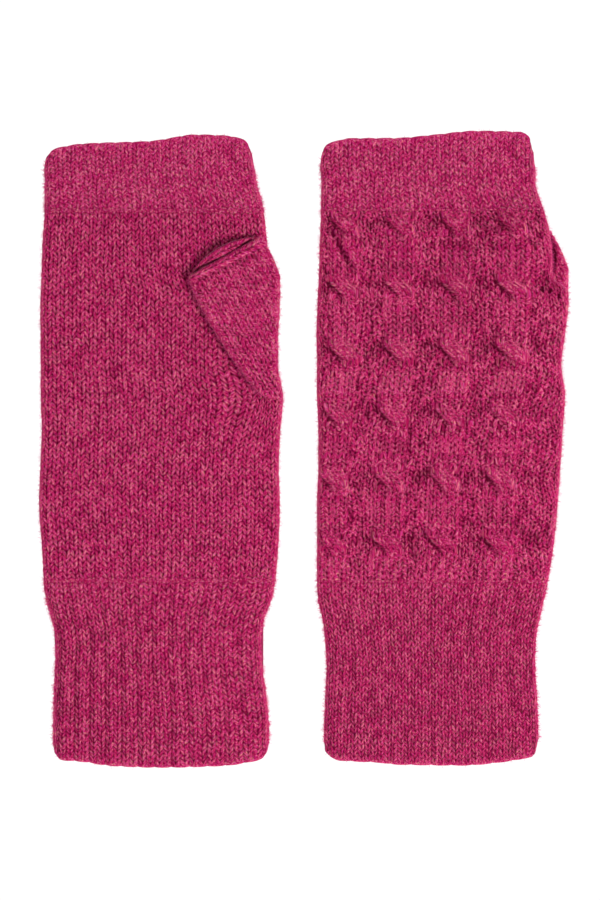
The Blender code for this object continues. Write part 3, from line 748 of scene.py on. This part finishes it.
def knit_mesh(name, points, quads, tris, wale, row, gap, total=None):
    """A closed mesh whose UV map holds the wale and course of each point, and the attribute gap its depth,
    which the wool turns into painted shade.

    total is the number of wales round a tube, at which they start again from 0.
    """
    corners = np.concatenate([quads.ravel(), tris.ravel()])
    starts = np.concatenate([4 * np.arange(len(quads)), 4 * len(quads) + 3 * np.arange(len(tris))])
    mesh = bpy.data.meshes.new(name)
    mesh.vertices.add(len(points))
    mesh.vertices.foreach_set("co", points.ravel())
    mesh.loops.add(len(corners))
    mesh.loops.foreach_set("vertex_index", corners)
    mesh.polygons.add(len(starts))
    mesh.polygons.foreach_set("loop_start", starts)
    mesh.update(calc_edges=True)

    wales = wale[corners]
    if total is not None:
        across = wales[: 4 * len(quads)].reshape(-1, 4)
        torn = np.ptp(across, axis=1) > 0.5 * total
        across[torn] = np.where(across[torn] < 0.5 * total, across[torn] + total, across[torn])
    uv = mesh.uv_layers.new(name="knit")
    uv.data.foreach_set("uv", np.stack([wales, row[corners]], axis=-1).ravel())
    depth = mesh.attributes.new("gap", "FLOAT", "POINT")
    depth.data.foreach_set("value", gap)
    mesh.shade_smooth()
    return in_scene(name, mesh)


def in_scene(name, data):
    """A new object with the given mesh, lamp or camera, put in the scene."""
    thing = bpy.data.objects.new(name, data)
    bpy.context.scene.collection.objects.link(thing)
    return thing


def wall_mesh(name, warmer, outer, inner, wale, row, gap, total=None):
    """A closed wall between an outer grid and an inner one with the same columns and fewer rows.

    total is the number of wales round a tube, and None for an open panel.
    """
    closed = total is not None
    points = placed(warmer, np.concatenate([outer.reshape(-1, 3), inner.reshape(-1, 3)]))
    names, within = numbered(outer, inner)
    ends = [names[0], within[0], within[-1], names[-1]]
    tris = np.zeros((0, 3), int)
    if closed:
        ends = [round_again(end) for end in ends]
    else:
        tris = np.concatenate(
            [zipper(names[:, 0], within[:, 0], False), zipper(names[:, -1], within[:, -1], True)]
        )
    edges = strip(ends[0], ends[1]), strip(ends[2], ends[3])
    quads = np.concatenate([cells(names, closed), cells(within, closed)[:, ::-1], *edges])
    rows_in = np.linspace(row.min(), row.max(), inner.shape[0])[:, None] + 0 * within
    wale = np.concatenate([wale.ravel(), (wale[:1] + 0 * within).ravel()])
    row = np.concatenate([row.ravel(), rows_in.ravel()])
    # The inner side is darker all over, as painted shade
    gap = np.concatenate([gap.ravel(), np.full(within.size, INSIDE_SHADE)])
    return knit_mesh(name, points, quads, tris, wale, row, gap, total)


# ---- cuffs and bands ---------------------------------------------------------------------------------------


def rib_relief(ribs, around, depth):
    """The grooves between ribs on the layer that shows, between half waves of a sine to a power.

    Their depth changes evenly from the little finger's side to the thumb's.
    """
    share = ribs.little + (ribs.thumb - ribs.little) * (0.5 + 0.5 * around.flat)
    crest = np.abs(np.sin(math.pi * rib_place(ribs, around.flat))) ** RIB_ROUND
    return -depth * share * (1 - crest) * np.clip(around.rise, 0.0, 1.0)


def rib_ends(ribs, around):
    """How far a ribbed edge stands out at a rib and in at a groove."""
    crest = np.abs(np.sin(math.pi * rib_place(ribs, around.flat))) ** SCALLOP_ROUND
    return SCALLOP * (crest - SCALLOP_IN)


def ribbed_tube(name, warmer, ribs, depth, fade, low, high, courses, open_low):
    """A ribbed tube: a cuff with its hem below, or a band with its edge above.

    Its inner side is plain, but follows the grooves between ribs where it curls out to meet the bound edge.
    """
    around = ribbed_round(ribs)
    row, straight = zigzag(around, courses)
    up = low(around) + (high(around) - low(around)) * row / courses
    relief, gap = knit(around, straight, courses)
    from_edge = (row if open_low else courses - row) * COURSE
    grooves = rib_relief(ribs, around, depth) * fade(up)
    long = courses * COURSE
    # Painted shade: darker in the grooves between ribs, shifted for each zone, and lighter at the bound edge
    shade = ribs.shade * np.clip((long - from_edge) / JOIN_WIDE, 0, 1) - GROOVE_SHADE * grooves
    gap = np.clip((gap + shade) * (1 - FOLD_LIGHT * fall(from_edge, EDGE_WIDE)), 0, 1)
    relief = relief * (1 - fall(from_edge, EDGE_CALM)) - rounded(from_edge) + grooves
    outer = cloth(warmer, around, up, FOLD, relief)
    from_edge = np.array([*RIB_INSIDE, long - RIB_INSIDE[-1], long])[:, None] + 0 * around.flat
    from_edge = from_edge if open_low else from_edge[::-1]
    share = (from_edge if open_low else long - from_edge) / long
    up = low(around) + (high(around) - low(around)) * share
    drawn = rib_relief(ribs, around, depth) * fade(up) * rounded(from_edge) / rounded(0.0)
    inner = cloth(warmer, around, up, FOLD - WALL, rounded(from_edge) + drawn)
    total = float(ribs.count * ribs.wales + 2 * FOLD_WALES + UNDER_WALES)
    wale = around.wale + 0 * row
    return wall_mesh(name, warmer, outer, inner, wale, straight + 0.5, gap, total), (outer, around)


def edge_line(around, side, edge):
    """An edge's height for each column of a tube, whose folds take the last of the width on both sides."""
    half_wide = 0.5 * (side.thumb - side.little)
    across = ((half_wide - FOLD) * around.flat + FOLD * around.out) / half_wide
    return smooth(across, column(edge, "across"), column(edge, "up"))


def hem_line(warmer, around):
    """The hem, for each column of the cuff."""
    return edge_line(around, warmer.sides[0], warmer.hem) - rib_ends(warmer.cuff, around)


def tip_line(warmer, around):
    """The band's upper edge, for each of its columns."""
    return edge_line(around, warmer.sides[-1], warmer.tip) + rib_ends(warmer.band, around)


def make_cuff(warmer):
    """The deep wrist cuff, whose ribs come slowly out of the plain hand."""
    return ribbed_tube(
        warmer.name + "_cuff_ribbing", warmer, warmer.cuff, CUFF_GROOVE,
        lambda up: fall(up - CUFF_TOP + CUFF_FADE, CUFF_FADE),
        lambda around: hem_line(warmer, around),
        lambda around: CUFF_TOP + 0 * around.flat, CUFF_COURSES, True,
    )


def make_band(warmer):
    """The finger band, from the hand to its edge."""
    return ribbed_tube(
        warmer.name + "_band_ribbing", warmer, warmer.band, BAND_GROOVE,
        lambda up: fall(BAND_FOOT + BAND_FULL - up, BAND_FADE),
        lambda around: BAND_FOOT + 0 * around.flat,
        lambda around: tip_line(warmer, around), BAND_COURSES, False,
    )


# ---- palms and backs ---------------------------------------------------------------------------------------


def panel_inside(warmer, around):
    """The plain inner side of a panel."""
    up = np.linspace(CUFF_TOP, BAND_FOOT, PANEL_INSIDE)[:, None] + 0 * around.flat
    return cloth(warmer, around, up, FOLD - WALL)


def plain_panel(name, warmer, under):
    """A palm or back in plain knitting."""
    around = half_round(HAND_WALES, UNDER if under else SHOWN, under)
    row, straight = zigzag(around, HAND_COURSES)
    up = CUFF_TOP + (BAND_FOOT - CUFF_TOP) * row / HAND_COURSES
    relief, gap = knit(around, straight, HAND_COURSES)
    outer = cloth(warmer, around, up, FOLD, relief)
    wale = around.wale + 0 * row
    thing = wall_mesh(name, warmer, outer, panel_inside(warmer, around), wale, straight + 0.5, gap)
    return thing, (outer, around)


def cable_knit(x, up):
    """Wale, course, relief and depth in a gap over the cabled back.

    Each cable has two rounded strands of two wales. The strand that starts on the thumb's side runs over to
    the other in front, along a sine, and is raised there. The other one sinks under it, and the ground beside
    the crossing is drawn in. A place takes its wale from its distance to the middle of its strand, at a right
    angle, and its course from its way along the strand, which is one course longer than straight up. The
    long crease is half a cosine to each side of its curve, and so is the strand that is drawn out above it.
    """
    from_first = x - smooth(up, LEAN_UP, LEAN_ACROSS) - CABLE_FIRST
    cable = np.clip(np.round(from_first / CABLE_PITCH), 0, CABLES - 1)
    aside = from_first - cable * CABLE_PITCH
    turn = (up - CROSS_FIRST) / CROSS_PITCH
    phase = turn - np.round(turn)
    through = np.clip(phase / CROSS_SPAN, -1, 1)
    angle = 0.5 * math.pi * through
    ends = fall(CUFF_TOP + CABLE_IN - up, CABLE_IN) * fall(up - BAND_FOOT + CABLE_OUT, CABLE_OUT)
    tight = LOOSEST + (1 - LOOSEST) * speckle(cable, np.round(turn), 5)
    crossing = fall(np.abs(phase), 2.0 * CROSS_SPAN) * ends * tight
    slope = 0.5 * STRAND_APART * np.cos(angle) * 0.5 * math.pi / (CROSS_SPAN * CROSS_PITCH)
    longer = np.sqrt(1 + slope * slope)
    extra = 0.5 * through + np.sin(math.pi * through) / (2 * math.pi)
    front = aside + 0.5 * STRAND_APART * np.sin(angle)
    behind = aside - 0.5 * STRAND_APART * np.sin(angle)
    half = STRAND_HALF + (FRONT_HALF - STRAND_HALF) * crossing
    over = (STRAIGHT_RISE + CROSS_RISE * crossing) * np.sqrt(np.clip(1 - (front / half) ** 2, 0, 1))
    under = STRAIGHT_RISE * (1 - crossing) * np.sqrt(np.clip(1 - (behind / STRAND_HALF) ** 2, 0, 1))
    beside = fall(np.abs(np.abs(aside) - 0.5 * CABLE_PITCH), PIT_HALF)
    pit = fall(np.abs(phase - PIT_AT), PIT_LONG) * beside * ends
    drawn_in = PIT * pit * (1 - np.clip(over, 0, 1))
    crease = fall(np.abs(front + half + CREASE_ASIDE), CREASE_HALF)
    crease = crease * crossing * fall(phase, CREASE_LONG)
    from_line = x - smooth(up, column(LONG_CREASE, "up"), column(LONG_CREASE, "across"))
    beyond = fall(np.abs(up - LONG_CREASE[1].up), CREASE_REACH)
    crease = np.maximum(crease, CREASE_MORE * fall(np.abs(from_line), CREASE_HALF) * beyond)
    strap = fall(np.abs(from_line - STRAP_ASIDE), STRAP_HALF) * beyond
    holes = dips(CROTCH, x, up)
    high = (STRAIGHT_RISE * GROUND - drawn_in + STRAND_RISE * np.maximum(over, under)) * ends
    high = high - CREASE * crease + STRAP_RISE * strap

    on_front, on_behind = (over >= under) & (over > 0), (under > over)
    away = np.abs(aside) * (1 + DRAWN * fall(np.abs(phase), DRAWN_LONG) * ends)
    ground = np.sign(aside) * ((away - 0.5 * STRAND_APART) / WALE + 0.5)
    ground = ground + WAVER * uneven(x / WAVER_ACROSS, up / WAVER_UP, 6)
    strand = np.where(on_front, front, behind) / longer
    wale = np.where(on_front | on_behind, strand / WALE + 0.5, ground)
    row = (up - CUFF_TOP) / COURSE
    along = row + extra - np.where(on_front, strand, -strand) * slope / COURSE
    row = np.where(on_front | on_behind, along, row)
    row = row + UNEVEN_UP * uneven(x / WALE, up / COURSE, 7)
    wale = wale + UNEVEN_ACROSS / WALE * uneven(x / WALE, up / COURSE, 8)
    row, relief, gap = short_stitch(wale, row, CABLE_UNLIKE * cable)
    calm = 1 - STRAND_CALM * (on_front | on_behind)
    calm = calm - np.maximum(CROSS_CALM * crossing * on_front, STRAP_CALM * strap)
    relief = relief * calm - np.minimum(holes, CROTCH_DEEPEST)
    # Painted shade: the back's gaps are darker, and so are the pits beside a crossing, the creases and the
    # holes at the thumb
    gap = CABLE_SHADE * gap * calm + CALM_SHADE * (1 - calm) + BACK_SHADE * ends
    gap = np.clip(gap + PIT_SHADE * drawn_in + CREASE_SHADE * crease + holes, 0, 1)
    return wale, row, np.maximum(high + relief, THINNEST - WALL), gap


def dips(table, x, up):
    """How deep the small holes of a table are at a place: half a cosine across, drawn out downwards."""
    deep = 0.0 * x
    for dip in table:
        below = np.where(up < dip.up, (dip.up - up) / dip.long, (up - dip.up) / dip.half)
        deep = deep + dip.deep * fall(np.hypot((x - dip.x) / dip.half, below), 1.0)
    return deep


def cable_panel(name, warmer):
    """The cabled back, on a straight grid that is fine enough for stitches in any direction."""
    around = half_round(HAND_WALES, CABLE_COLUMNS)
    up = np.linspace(CUFF_TOP, BAND_FOOT, CABLE_ROWS)[:, None] + 0 * around.flat
    flat_points = cloth(warmer, around, up, FOLD)
    x = flat_points[..., 0] + FOLD * (0.5 * math.pi - 1) * np.sign(around.out) * (1 - around.rise)
    wale, row, relief, gap = cable_knit(x - bent(warmer.fan, x, up), up)
    outer = cloth(warmer, around, up, FOLD, relief * (1 - FOLD_CALM * around.out**2))
    gap = gap * (1 - FOLD_LIGHT * around.out**2)
    thing = wall_mesh(name, warmer, outer, panel_inside(warmer, around), wale, row, gap)
    return thing, (outer, around)


# ---- thumbs ------------------------------------------------------------------------------------------------


def thumb_round():
    """Columns round the thumb: the layer on top, a fold, the layer underneath and a fold."""
    share = np.arange(THUMB_OVER) / THUMB_OVER
    parts = [(1 - 2 * share, 0 * share, 1 + 0 * share)]
    for side, count in ((-1, THUMB_FOLD), (0, THUMB_UNDER), (1, THUMB_FOLD)):
        parts.append(part_round(side, count))
    flat, out, rise = (np.concatenate(part) for part in zip(*parts))
    none = 0 * flat
    return Round(flat, out, rise, none, none, none)


def thumb_points(warmer, around, along, inset, relief):
    """Points of the thumb's wall, moved in by inset: a flat tube that lies on the palm or on the floor."""
    inner_x, inner_up, outer_x, outer_up, thick = thumb_section(warmer, along)
    fold = thick / 2
    half_wide = 0.5 * np.hypot(outer_x - inner_x, outer_up - inner_up)
    radius = fold - inset
    across = ((half_wide - fold) * around.flat + (radius + relief) * around.out) / half_wide
    past = LIP_PAST * np.clip(-around.rise if warmer.palm_up else around.rise, 0.0, 1.0)
    x, up = thumb_plan(warmer, along, across, past)
    clear = REST * np.clip(along / REST_OVER, REST_FROM, 1.0)
    rests_on = LAYERS + clear + lift(warmer, x, up, 1.0) if warmer.palm_up else 0.0
    return np.stack([x, up, rests_on + fold + (radius + relief) * around.rise], axis=-1)


def thumb_knit(warmer, points, from_mouth):
    """Wale, course, relief and depth in a gap of the thumb's knitting.

    Its wales lean towards the palm, at THUMB_TURN from straight up. The bound rim is one more wale that
    runs along the mouth, a chain of stitches.
    """
    mouth = warmer.thumb[-1]
    x, up = points[..., 0] - mouth.inner_x, points[..., 1] - mouth.inner_up
    x = x + UNEVEN_ACROSS * uneven(x / WALE, up / COURSE, 3)
    up = up + UNEVEN_UP * COURSE * uneven(x / WALE, up / COURSE, 4)
    wale = (math.cos(THUMB_TURN) * x + math.sin(THUMB_TURN) * up) / WALE + 0.5
    row = (math.cos(THUMB_TURN) * up - math.sin(THUMB_TURN) * x) / COURSE
    mouth_x, mouth_up = mouth.outer_x - mouth.inner_x, mouth.outer_up - mouth.inner_up
    along_mouth = (x * mouth_x + up * mouth_up) / math.hypot(mouth_x, mouth_up)
    on_rim = from_mouth < RIM_WIDE
    wale = np.where(on_rim, 0.5 + from_mouth / RIM_WIDE, wale)
    row = np.where(on_rim, along_mouth / CHAIN, row)
    return (wale, *short_stitch(wale, row, 0.0))


def make_thumb(warmer):
    """The short thumb: its wales run parallel to the edge over the palm, and it ends in a thick bound rim.

    The rim rises, and the groove behind it sinks, as half a cosine to each side of its middle. The inner side
    follows at the distance that leaves the air between the layers, and swells where the longer lip shows.
    """
    around = thumb_round()
    along = np.linspace(0.0, 1.0, THUMB_ROWS)[:, None] + 0 * around.flat
    from_mouth = (1 - along) * THUMB_LONG
    plain = thumb_points(warmer, around, along, 0.0, 0.0)
    wale, row, relief, gap = thumb_knit(warmer, plain, from_mouth)
    shown = np.clip(around.rise, 0, 1)
    groove = fall(np.abs(from_mouth - RIM_WIDE - GROOVE_PAST), GROOVE_HALF) * shown
    relief = relief * (1 - FOLD_CALM * around.out**2)
    relief = relief + RIM_RISE * fall(np.abs(from_mouth - 0.5 * RIM_WIDE), RIM_REACH * RIM_WIDE) * shown
    held = np.clip(along / FOOT_CALM, 0, 1) * (1 - fall(from_mouth, MOUTH_CALM))
    slit = 0.0 if warmer.palm_up else slit_depth(plain) * shown
    relief = (relief - RIM_GROOVE * groove) * held - rounded(from_mouth) - SLIT_DEEP * slit
    # Painted shade in the groove behind the rim and in the gape beside the hand's edge, painted lighter on
    # the folds
    gap = np.clip((gap + RIM_SHADE * groove) * (1 - FOLD_LIGHT * around.out**2) + slit, 0, 1)
    outer = thumb_points(warmer, around, along, 0.0, relief)

    deep = np.concatenate([THUMB_DEEP, np.linspace(LIP_FROM, 1.0, LIP_ROWS)])[:, None] + 0 * around.flat
    into = (1 - deep) * THUMB_LONG
    air = SLACK + (MOUTH_GAP - SLACK) * np.clip((deep - MOUTH_FROM) / MOUTH_OVER, 0, 1)
    inset = (thumb_section(warmer, deep)[4] - air) / 2
    knit_in = thumb_knit(warmer, thumb_points(warmer, around, deep, inset, 0.0), into)
    longer = np.clip(-around.rise if warmer.palm_up else around.rise, 0, 1)
    bow = 1 - around.flat**2
    share = into / np.maximum(LIP_PAST * bow, LIP_LEAST)
    swell = (LIP_RISE if warmer.palm_up else LEFT_LIP_RISE) * bow**LIP_ROUND * longer
    swell = swell * fall(np.abs(share - LIP_MIDDLE) - LIP_FLAT, LIP_SLOPE)
    near = fall(into - RIM_WIDE, RIM_WIDE)
    stitches = LIP_STITCH * knit_in[2] * near * (1 - fall(into, MOUTH_CALM))
    inner = thumb_points(warmer, around, deep, inset, rounded(into) - swell - stitches)
    # Painted shade inside the thumb, away from its mouth
    gap_in = np.clip(knit_in[3] * near + THUMB_INSIDE_SHADE * (1 - near), 0, 1)
    thing = thumb_mesh(warmer, (outer, inner), (wale, knit_in[0]), (row, knit_in[1]), (gap, gap_in))
    return thing, (outer, around)


def slit_depth(points):
    """How deep the gape beside the hand's edge is, from 0 to 1: half a cosine to each side of its middle."""
    x, up = points[..., 0], points[..., 1]
    ends = np.clip((up - SLIT_UP[0]) / SLIT_FOOT, 0, 1) * np.clip((SLIT_UP[-1] - up) / SLIT_HEAD, 0, 1)
    return fall(np.abs(x - smooth(up, SLIT_UP, SLIT_X)), SLIT_HALF) * ends


def thumb_mesh(warmer, grids, wales, rows, gaps):
    """The thumb's closed wall. Both of its sides end in a flat cap where it runs into the palm."""
    points = placed(warmer, np.concatenate([grid.reshape(-1, 3) for grid in grids]))
    names, within = numbered(*grids)
    caps = []
    for loop, flip in ((names[0], False), (within[0], True)):
        middle = len(points)
        points = np.concatenate([points, points[loop].mean(axis=0, keepdims=True)])
        ring = round_again(loop)
        cap = np.stack([ring[:-1], ring[1:], np.full(len(loop), middle)], axis=-1)
        caps.append(cap[:, ::-1] if flip else cap)
    rim = strip(round_again(within[-1]), round_again(names[-1]))
    quads = np.concatenate([cells(names, True), cells(within, True)[:, ::-1], rim])
    at_caps = [np.zeros(2)]
    looks = [np.concatenate([part.ravel() for part in parts] + at_caps) for parts in (wales, rows, gaps)]
    return knit_mesh(warmer.name + "_thumb_tube", points, quads, np.concatenate(caps), *looks)


# ---- fuzz --------------------------------------------------------------------------------------------------


def make_fuzz(warmer, grids, count):
    """Loose fibres that stand off the yarn: bent needles with three sides and a closed foot.

    Each starts at a random point of the cloth and runs out between the cloth's normal and a random way along
    it, then turns once.
    """
    roots, outs = [], []
    for outer, around in grids:
        points = outer.reshape(-1, 3)
        normal = np.stack([around.out, 0 * around.out, around.rise], axis=-1)
        normal = np.broadcast_to(normal, outer.shape).reshape(-1, 3).copy()
        shown = normal[:, 2] > FUZZ_SHOWN
        roots.append(points[shown])
        outs.append(normal[shown])
    roots, outs = np.concatenate(roots), np.concatenate(outs)
    weight = 1.0 + FUZZ_ASIDE * outs[:, 0] ** 4
    low, high = roots[:, 1].min() + FUZZ_END, roots[:, 1].max() - FUZZ_END
    weight = weight + np.where((roots[:, 1] < low) | (roots[:, 1] > high), FUZZ_AT_END, 0.0)
    pick = RNG.choice(len(roots), size=count, p=weight / weight.sum())
    foot, out = roots[pick], outs[pick]
    ends = (np.where(foot[:, 1] > high, 1.0, 0.0) - np.where(foot[:, 1] < low, 1.0, 0.0))[:, None]
    out = out + FUZZ_LEAN * ends * (0.0, 1.0, 0.0)
    drift = RNG.normal(size=(count, 3))
    long = FUZZ_SHORTEST + FUZZ_LONGER * RNG.uniform(size=(count, 1)) ** 2
    first = unit(out * RNG.uniform(*FUZZ_OUT, size=(count, 1)) + FUZZ_STRAY * drift)
    second = unit(first + FUZZ_TURN * RNG.normal(size=(count, 3)))
    foot = foot - FUZZ_ROOT * out
    middle = foot + 0.5 * long * first
    tip = middle + 0.5 * long * second
    for line in (foot, middle, tip):
        line[:, 2] = np.maximum(line[:, 2], FUZZ_LOWEST)
    side = unit(np.cross(first, RNG.normal(size=(count, 3))))
    other = np.cross(first, side)
    thick = RNG.uniform(*FUZZ_THICK, size=(count, 1))
    points = []
    for turn in range(3):
        angle = 2 * math.pi * turn / 3
        spoke = thick * (math.cos(angle) * side + math.sin(angle) * other)
        points += [foot + spoke, middle + FUZZ_TAPER * spoke]
    top = len(points)
    points = placed(warmer, np.stack(points + [tip], axis=1).reshape(-1, 3))
    start = (top + 1) * np.arange(count)[:, None]
    faces = []
    for turn in range(3):
        here, after = 2 * turn, 2 * ((turn + 1) % 3)
        faces += [(here, after, after + 1), (here, after + 1, here + 1), (here + 1, after + 1, top)]
    faces = np.concatenate([start + np.array(face) for face in faces + [(4, 2, 0)]])
    mesh = bpy.data.meshes.new(warmer.name + "_fuzz")
    mesh.from_pydata(points, [], faces)
    mesh.shade_smooth()
    return in_scene(mesh.name, mesh)


def unit(vectors):
    """Vectors of the same directions, one long."""
    return vectors / np.maximum(np.linalg.norm(vectors, axis=-1, keepdims=True), 1e-9)


# ---- materials ---------------------------------------------------------------------------------------------


def heather_wool(name, tint, lighter, darkest=0.95):
    """Raspberry wool spun from fibres of several colours, seen stitch by stitch.

    Fine noise gives the fibres and a second one their dye, one random value a leg gives the heather, and the
    depth in a gap darkens the colour as painted shade, up to the share darkest.
    """
    material, tree, shader = start_material(name, WOOL_SURFACE)
    uv = add(tree, "UVMap", {}, uv_map="knit").outputs[0]
    fibres = noise_map(tree, stretched(tree, uv, FIBRE_CELLS), 1.0, 2.0)
    dye = noise_map(tree, stretched(tree, uv, DYE_CELLS, DYE_SHIFT), 1.0, 1.0)
    leg = add(tree, "VectorMath", {0: stretched(tree, uv, LEG_CELLS)}, operation="FLOOR").outputs[0]
    each = add(tree, "TexWhiteNoise", {"Vector": leg}, noise_dimensions="2D").outputs["Value"]
    broad = noise_map(tree, uv, BROAD_CELLS, 2.0)

    mix = maths(tree, "MULTIPLY", fibres, FIBRE_SHARE)
    mix = maths(tree, "ADD", mix, maths(tree, "MULTIPLY", each, LEG_SHARE))
    mix = maths(tree, "ADD", mix, maths(tree, "MULTIPLY", broad, BROAD_SHARE))
    mix = maths(tree, "SUBTRACT", mix, SHADE_LESS)
    stops = [(at, [lighter * c * t for c, t in zip(colour, tint)]) for at, colour in WOOL_STOPS]
    parts = {"Factor": 1.0, 6: colour_ramp(tree, mix, stops), 7: colour_ramp(tree, dye, DYE_STOPS)}
    dyed = add(tree, "Mix", parts, data_type="RGBA", blend_type="MULTIPLY").outputs[2]

    # Painted shade: the depth in a gap darkens the colour towards a dark one
    gap = add(tree, "Attribute", {}, attribute_name="gap").outputs["Fac"]
    limits = {"From Min": GAP_LIGHT, "From Max": GAP_DARK, "To Min": 0.0, "To Max": darkest}
    dark = add(tree, "MapRange", {"Value": gap, **limits}).outputs["Result"]
    shade = add(tree, "Mix", {"Factor": dark, 6: dyed, 7: GAP_SHADE_COLOUR}, data_type="RGBA").outputs[2]
    bump = add(tree, "Bump", {"Strength": 0.35, "Distance": 0.0003, "Height": fibres})
    fill(shader, {"Base Color": shade, "Normal": bump.outputs["Normal"]})
    return material


def loose_fibre(name, colour):
    """The pale loose fibres of the fuzz, some a little darker, by noise in space."""
    material, tree, shader = start_material(name, {"Roughness": 0.9, "Specular IOR Level": 0.0})
    where = add(tree, "TexCoord", {}).outputs["Object"]
    noise = add(tree, "TexNoise", {"Vector": where, "Scale": 400.0}).outputs["Fac"]
    stops = ((0.35, [FUZZ_DARKER * c for c in colour]), (0.65, colour))
    fill(shader, {"Base Color": colour_ramp(tree, noise, stops)})
    return material


def start_material(name, surface):
    """A new material, its node tree, and its main shader with some inputs set."""
    material = bpy.data.materials.new(name)
    material.use_nodes = True
    shader = material.node_tree.nodes["Principled BSDF"]
    fill(shader, surface)
    return material, material.node_tree, shader


def fill(node, inputs):
    """Sets a node's inputs, or links them where the value is another node's output."""
    for name, value in inputs.items():
        if isinstance(value, bpy.types.NodeSocket):
            node.id_data.links.new(value, node.inputs[name])
        else:
            node.inputs[name].default_value = value


def add(tree, kind, inputs, **settings):
    """A new node with its settings and inputs."""
    node = tree.nodes.new("ShaderNode" + kind)
    for name, value in settings.items():
        setattr(node, name, value)
    fill(node, inputs)
    return node


def maths(tree, operation, first, second):
    """The sum, difference or product of two values."""
    return add(tree, "Math", {0: first, 1: second}, operation=operation).outputs[0]


def stretched(tree, uv, cells_each, shift=(0.0, 0.0, 0.0)):
    """The map of wales and courses, times so many cells for each, and shifted."""
    return add(tree, "Mapping", {"Vector": uv, "Scale": cells_each, "Location": shift}).outputs[0]


def noise_map(tree, vector, scale, detail):
    """Smooth noise from 0 to 1 over a flat map."""
    inputs = {"Vector": vector, "Scale": scale, "Detail": detail}
    return add(tree, "TexNoise", inputs, noise_dimensions="2D").outputs["Fac"]


def colour_ramp(tree, value, stops):
    """A colour for each value, blended between the places and colours of a table."""
    node = add(tree, "ValToRGB", {"Fac": value})
    elements = node.color_ramp.elements
    while len(elements) < len(stops):
        elements.new(0.5)
    for element, (at, colour) in zip(elements, stops):
        element.position = at
        element.color = (*colour, 1.0)
    return node.outputs["Color"]


# ---- the studio --------------------------------------------------------------------------------------------


def make_floor():
    """A white floor that the warmers lie on.

    To look at, it is just white, so that loose fibres show against it. Its light on the cloth's sides is
    stronger.
    """
    bpy.ops.mesh.primitive_plane_add(size=FLOOR_WIDE, location=(0, 0, -FLOOR_UNDER))
    floor = bpy.context.object
    floor.name = "studio_floor"
    surface = {
        "Base Color": (0.9, 0.9, 0.9, 1.0),
        "Roughness": 0.95,
        "Specular IOR Level": 0.0,
        "Emission Color": (1.0, 1.0, 1.0, 1.0),
        "Emission Strength": FLOOR_LIGHT,
    }
    material, tree, shader = start_material("studio_floor_white", surface)
    seen = add(tree, "Emission", {"Strength": FLOOR_SEEN})
    path = add(tree, "LightPath", {})
    parts = {0: path.outputs["Is Camera Ray"], 1: shader.outputs[0], 2: seen.outputs[0]}
    either = add(tree, "MixShader", parts)
    fill(tree.nodes["Material Output"], {"Surface": either.outputs[0]})
    floor.data.materials.append(material)


def make_studio():
    """A white room and a large soft lamp from the lower right, turned to the middle of the pair."""
    world = bpy.data.worlds.new("white_room")
    world.use_nodes = True
    fill(world.node_tree.nodes["Background"], {"Color": (1.0, 1.0, 1.0, 1.0), "Strength": ROOM_LIGHT})
    bpy.context.scene.world = world
    data = bpy.data.lights.new("key_lamp", "AREA")
    data.shape = "DISK"
    data.size = LAMP_WIDE
    data.energy = LAMP_POWER
    lamp = in_scene("key_lamp", data)
    lamp.location = LAMP_AT
    lamp.rotation_euler = (-Vector(LAMP_AT)).to_track_quat("-Z", "Y").to_euler()
    bpy.context.scene.view_settings.view_transform = "Standard"


def make_camera():
    """A long lens straight above the pair."""
    data = bpy.data.cameras.new("camera")
    data.lens = CAMERA_LENS
    data.sensor_width = SENSOR_WIDE
    distance = 0.5 * VIEW_LENGTH / (0.5 * SENSOR_WIDE / CAMERA_LENS)
    camera = in_scene("camera", data)
    camera.location = (*VIEW_CENTRE, distance + LAYERS * MM)
    bpy.context.scene.camera = camera


# ---- the pair ----------------------------------------------------------------------------------------------


def dress(thing, node, material):
    """Puts a finished piece in its solid's place, in its wool, and hides the solid."""
    thing.data.materials.append(material)
    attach(thing, "root")
    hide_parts(node)


def make_warmer(warmer, wools):
    """One warmer's five pieces and its fuzz."""
    side = warmer.name
    cuff, cuff_grid = make_cuff(warmer)
    band, band_grid = make_band(warmer)
    if warmer.palm_up:
        over, shown_grid = plain_panel(side + "_palm_knit", warmer, False)
        under, _ = plain_panel(side + "_back_knit", warmer, True)
    else:
        under, _ = plain_panel(side + "_palm_knit", warmer, True)
        over, shown_grid = cable_panel(side + "_back_cables", warmer)
    thumb, thumb_grid = make_thumb(warmer)
    dress(cuff, side + "_cuff", wools["cuff"])
    dress(band, side + "_band", wools["band"])
    if warmer.palm_up:
        dress(over, side + "_palm", wools["hand"])
        dress(under, side + "_back", wools["hand"])
    else:
        dress(over, side + "_back", wools["cables"])
        dress(under, side + "_palm", wools["hand"])
    dress(thumb, side + "_thumb", wools["thumb"])
    fuzz = make_fuzz(warmer, [cuff_grid, band_grid, shown_grid, thumb_grid], FIBRES)
    fuzz.data.materials.append(wools["fuzz"])
    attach(fuzz, "root")


def main():
    """Both warmers in their wools, with the floor, the light and the camera."""
    wools = {
        "cuff": heather_wool("cuff_wool", (1.0, 1.02, 1.0), 1.0, 0.86),
        "hand": heather_wool("hand_wool", (1.0, 1.0, 1.0), 1.0),
        "cables": heather_wool("cable_wool", (1.0, 1.0, 1.0), 1.0),
        "band": heather_wool("band_wool", (1.0, 1.08, 1.04), 1.0, 0.8),
        "thumb": heather_wool("thumb_wool", (1.0, 1.06, 1.03), 0.96),
        "fuzz": loose_fibre("loose_fibre", FUZZ_COLOUR),
    }
    for warmer in (RIGHT, LEFT):
        make_warmer(warmer, wools)
    make_floor()
    make_studio()
    make_camera()


main()
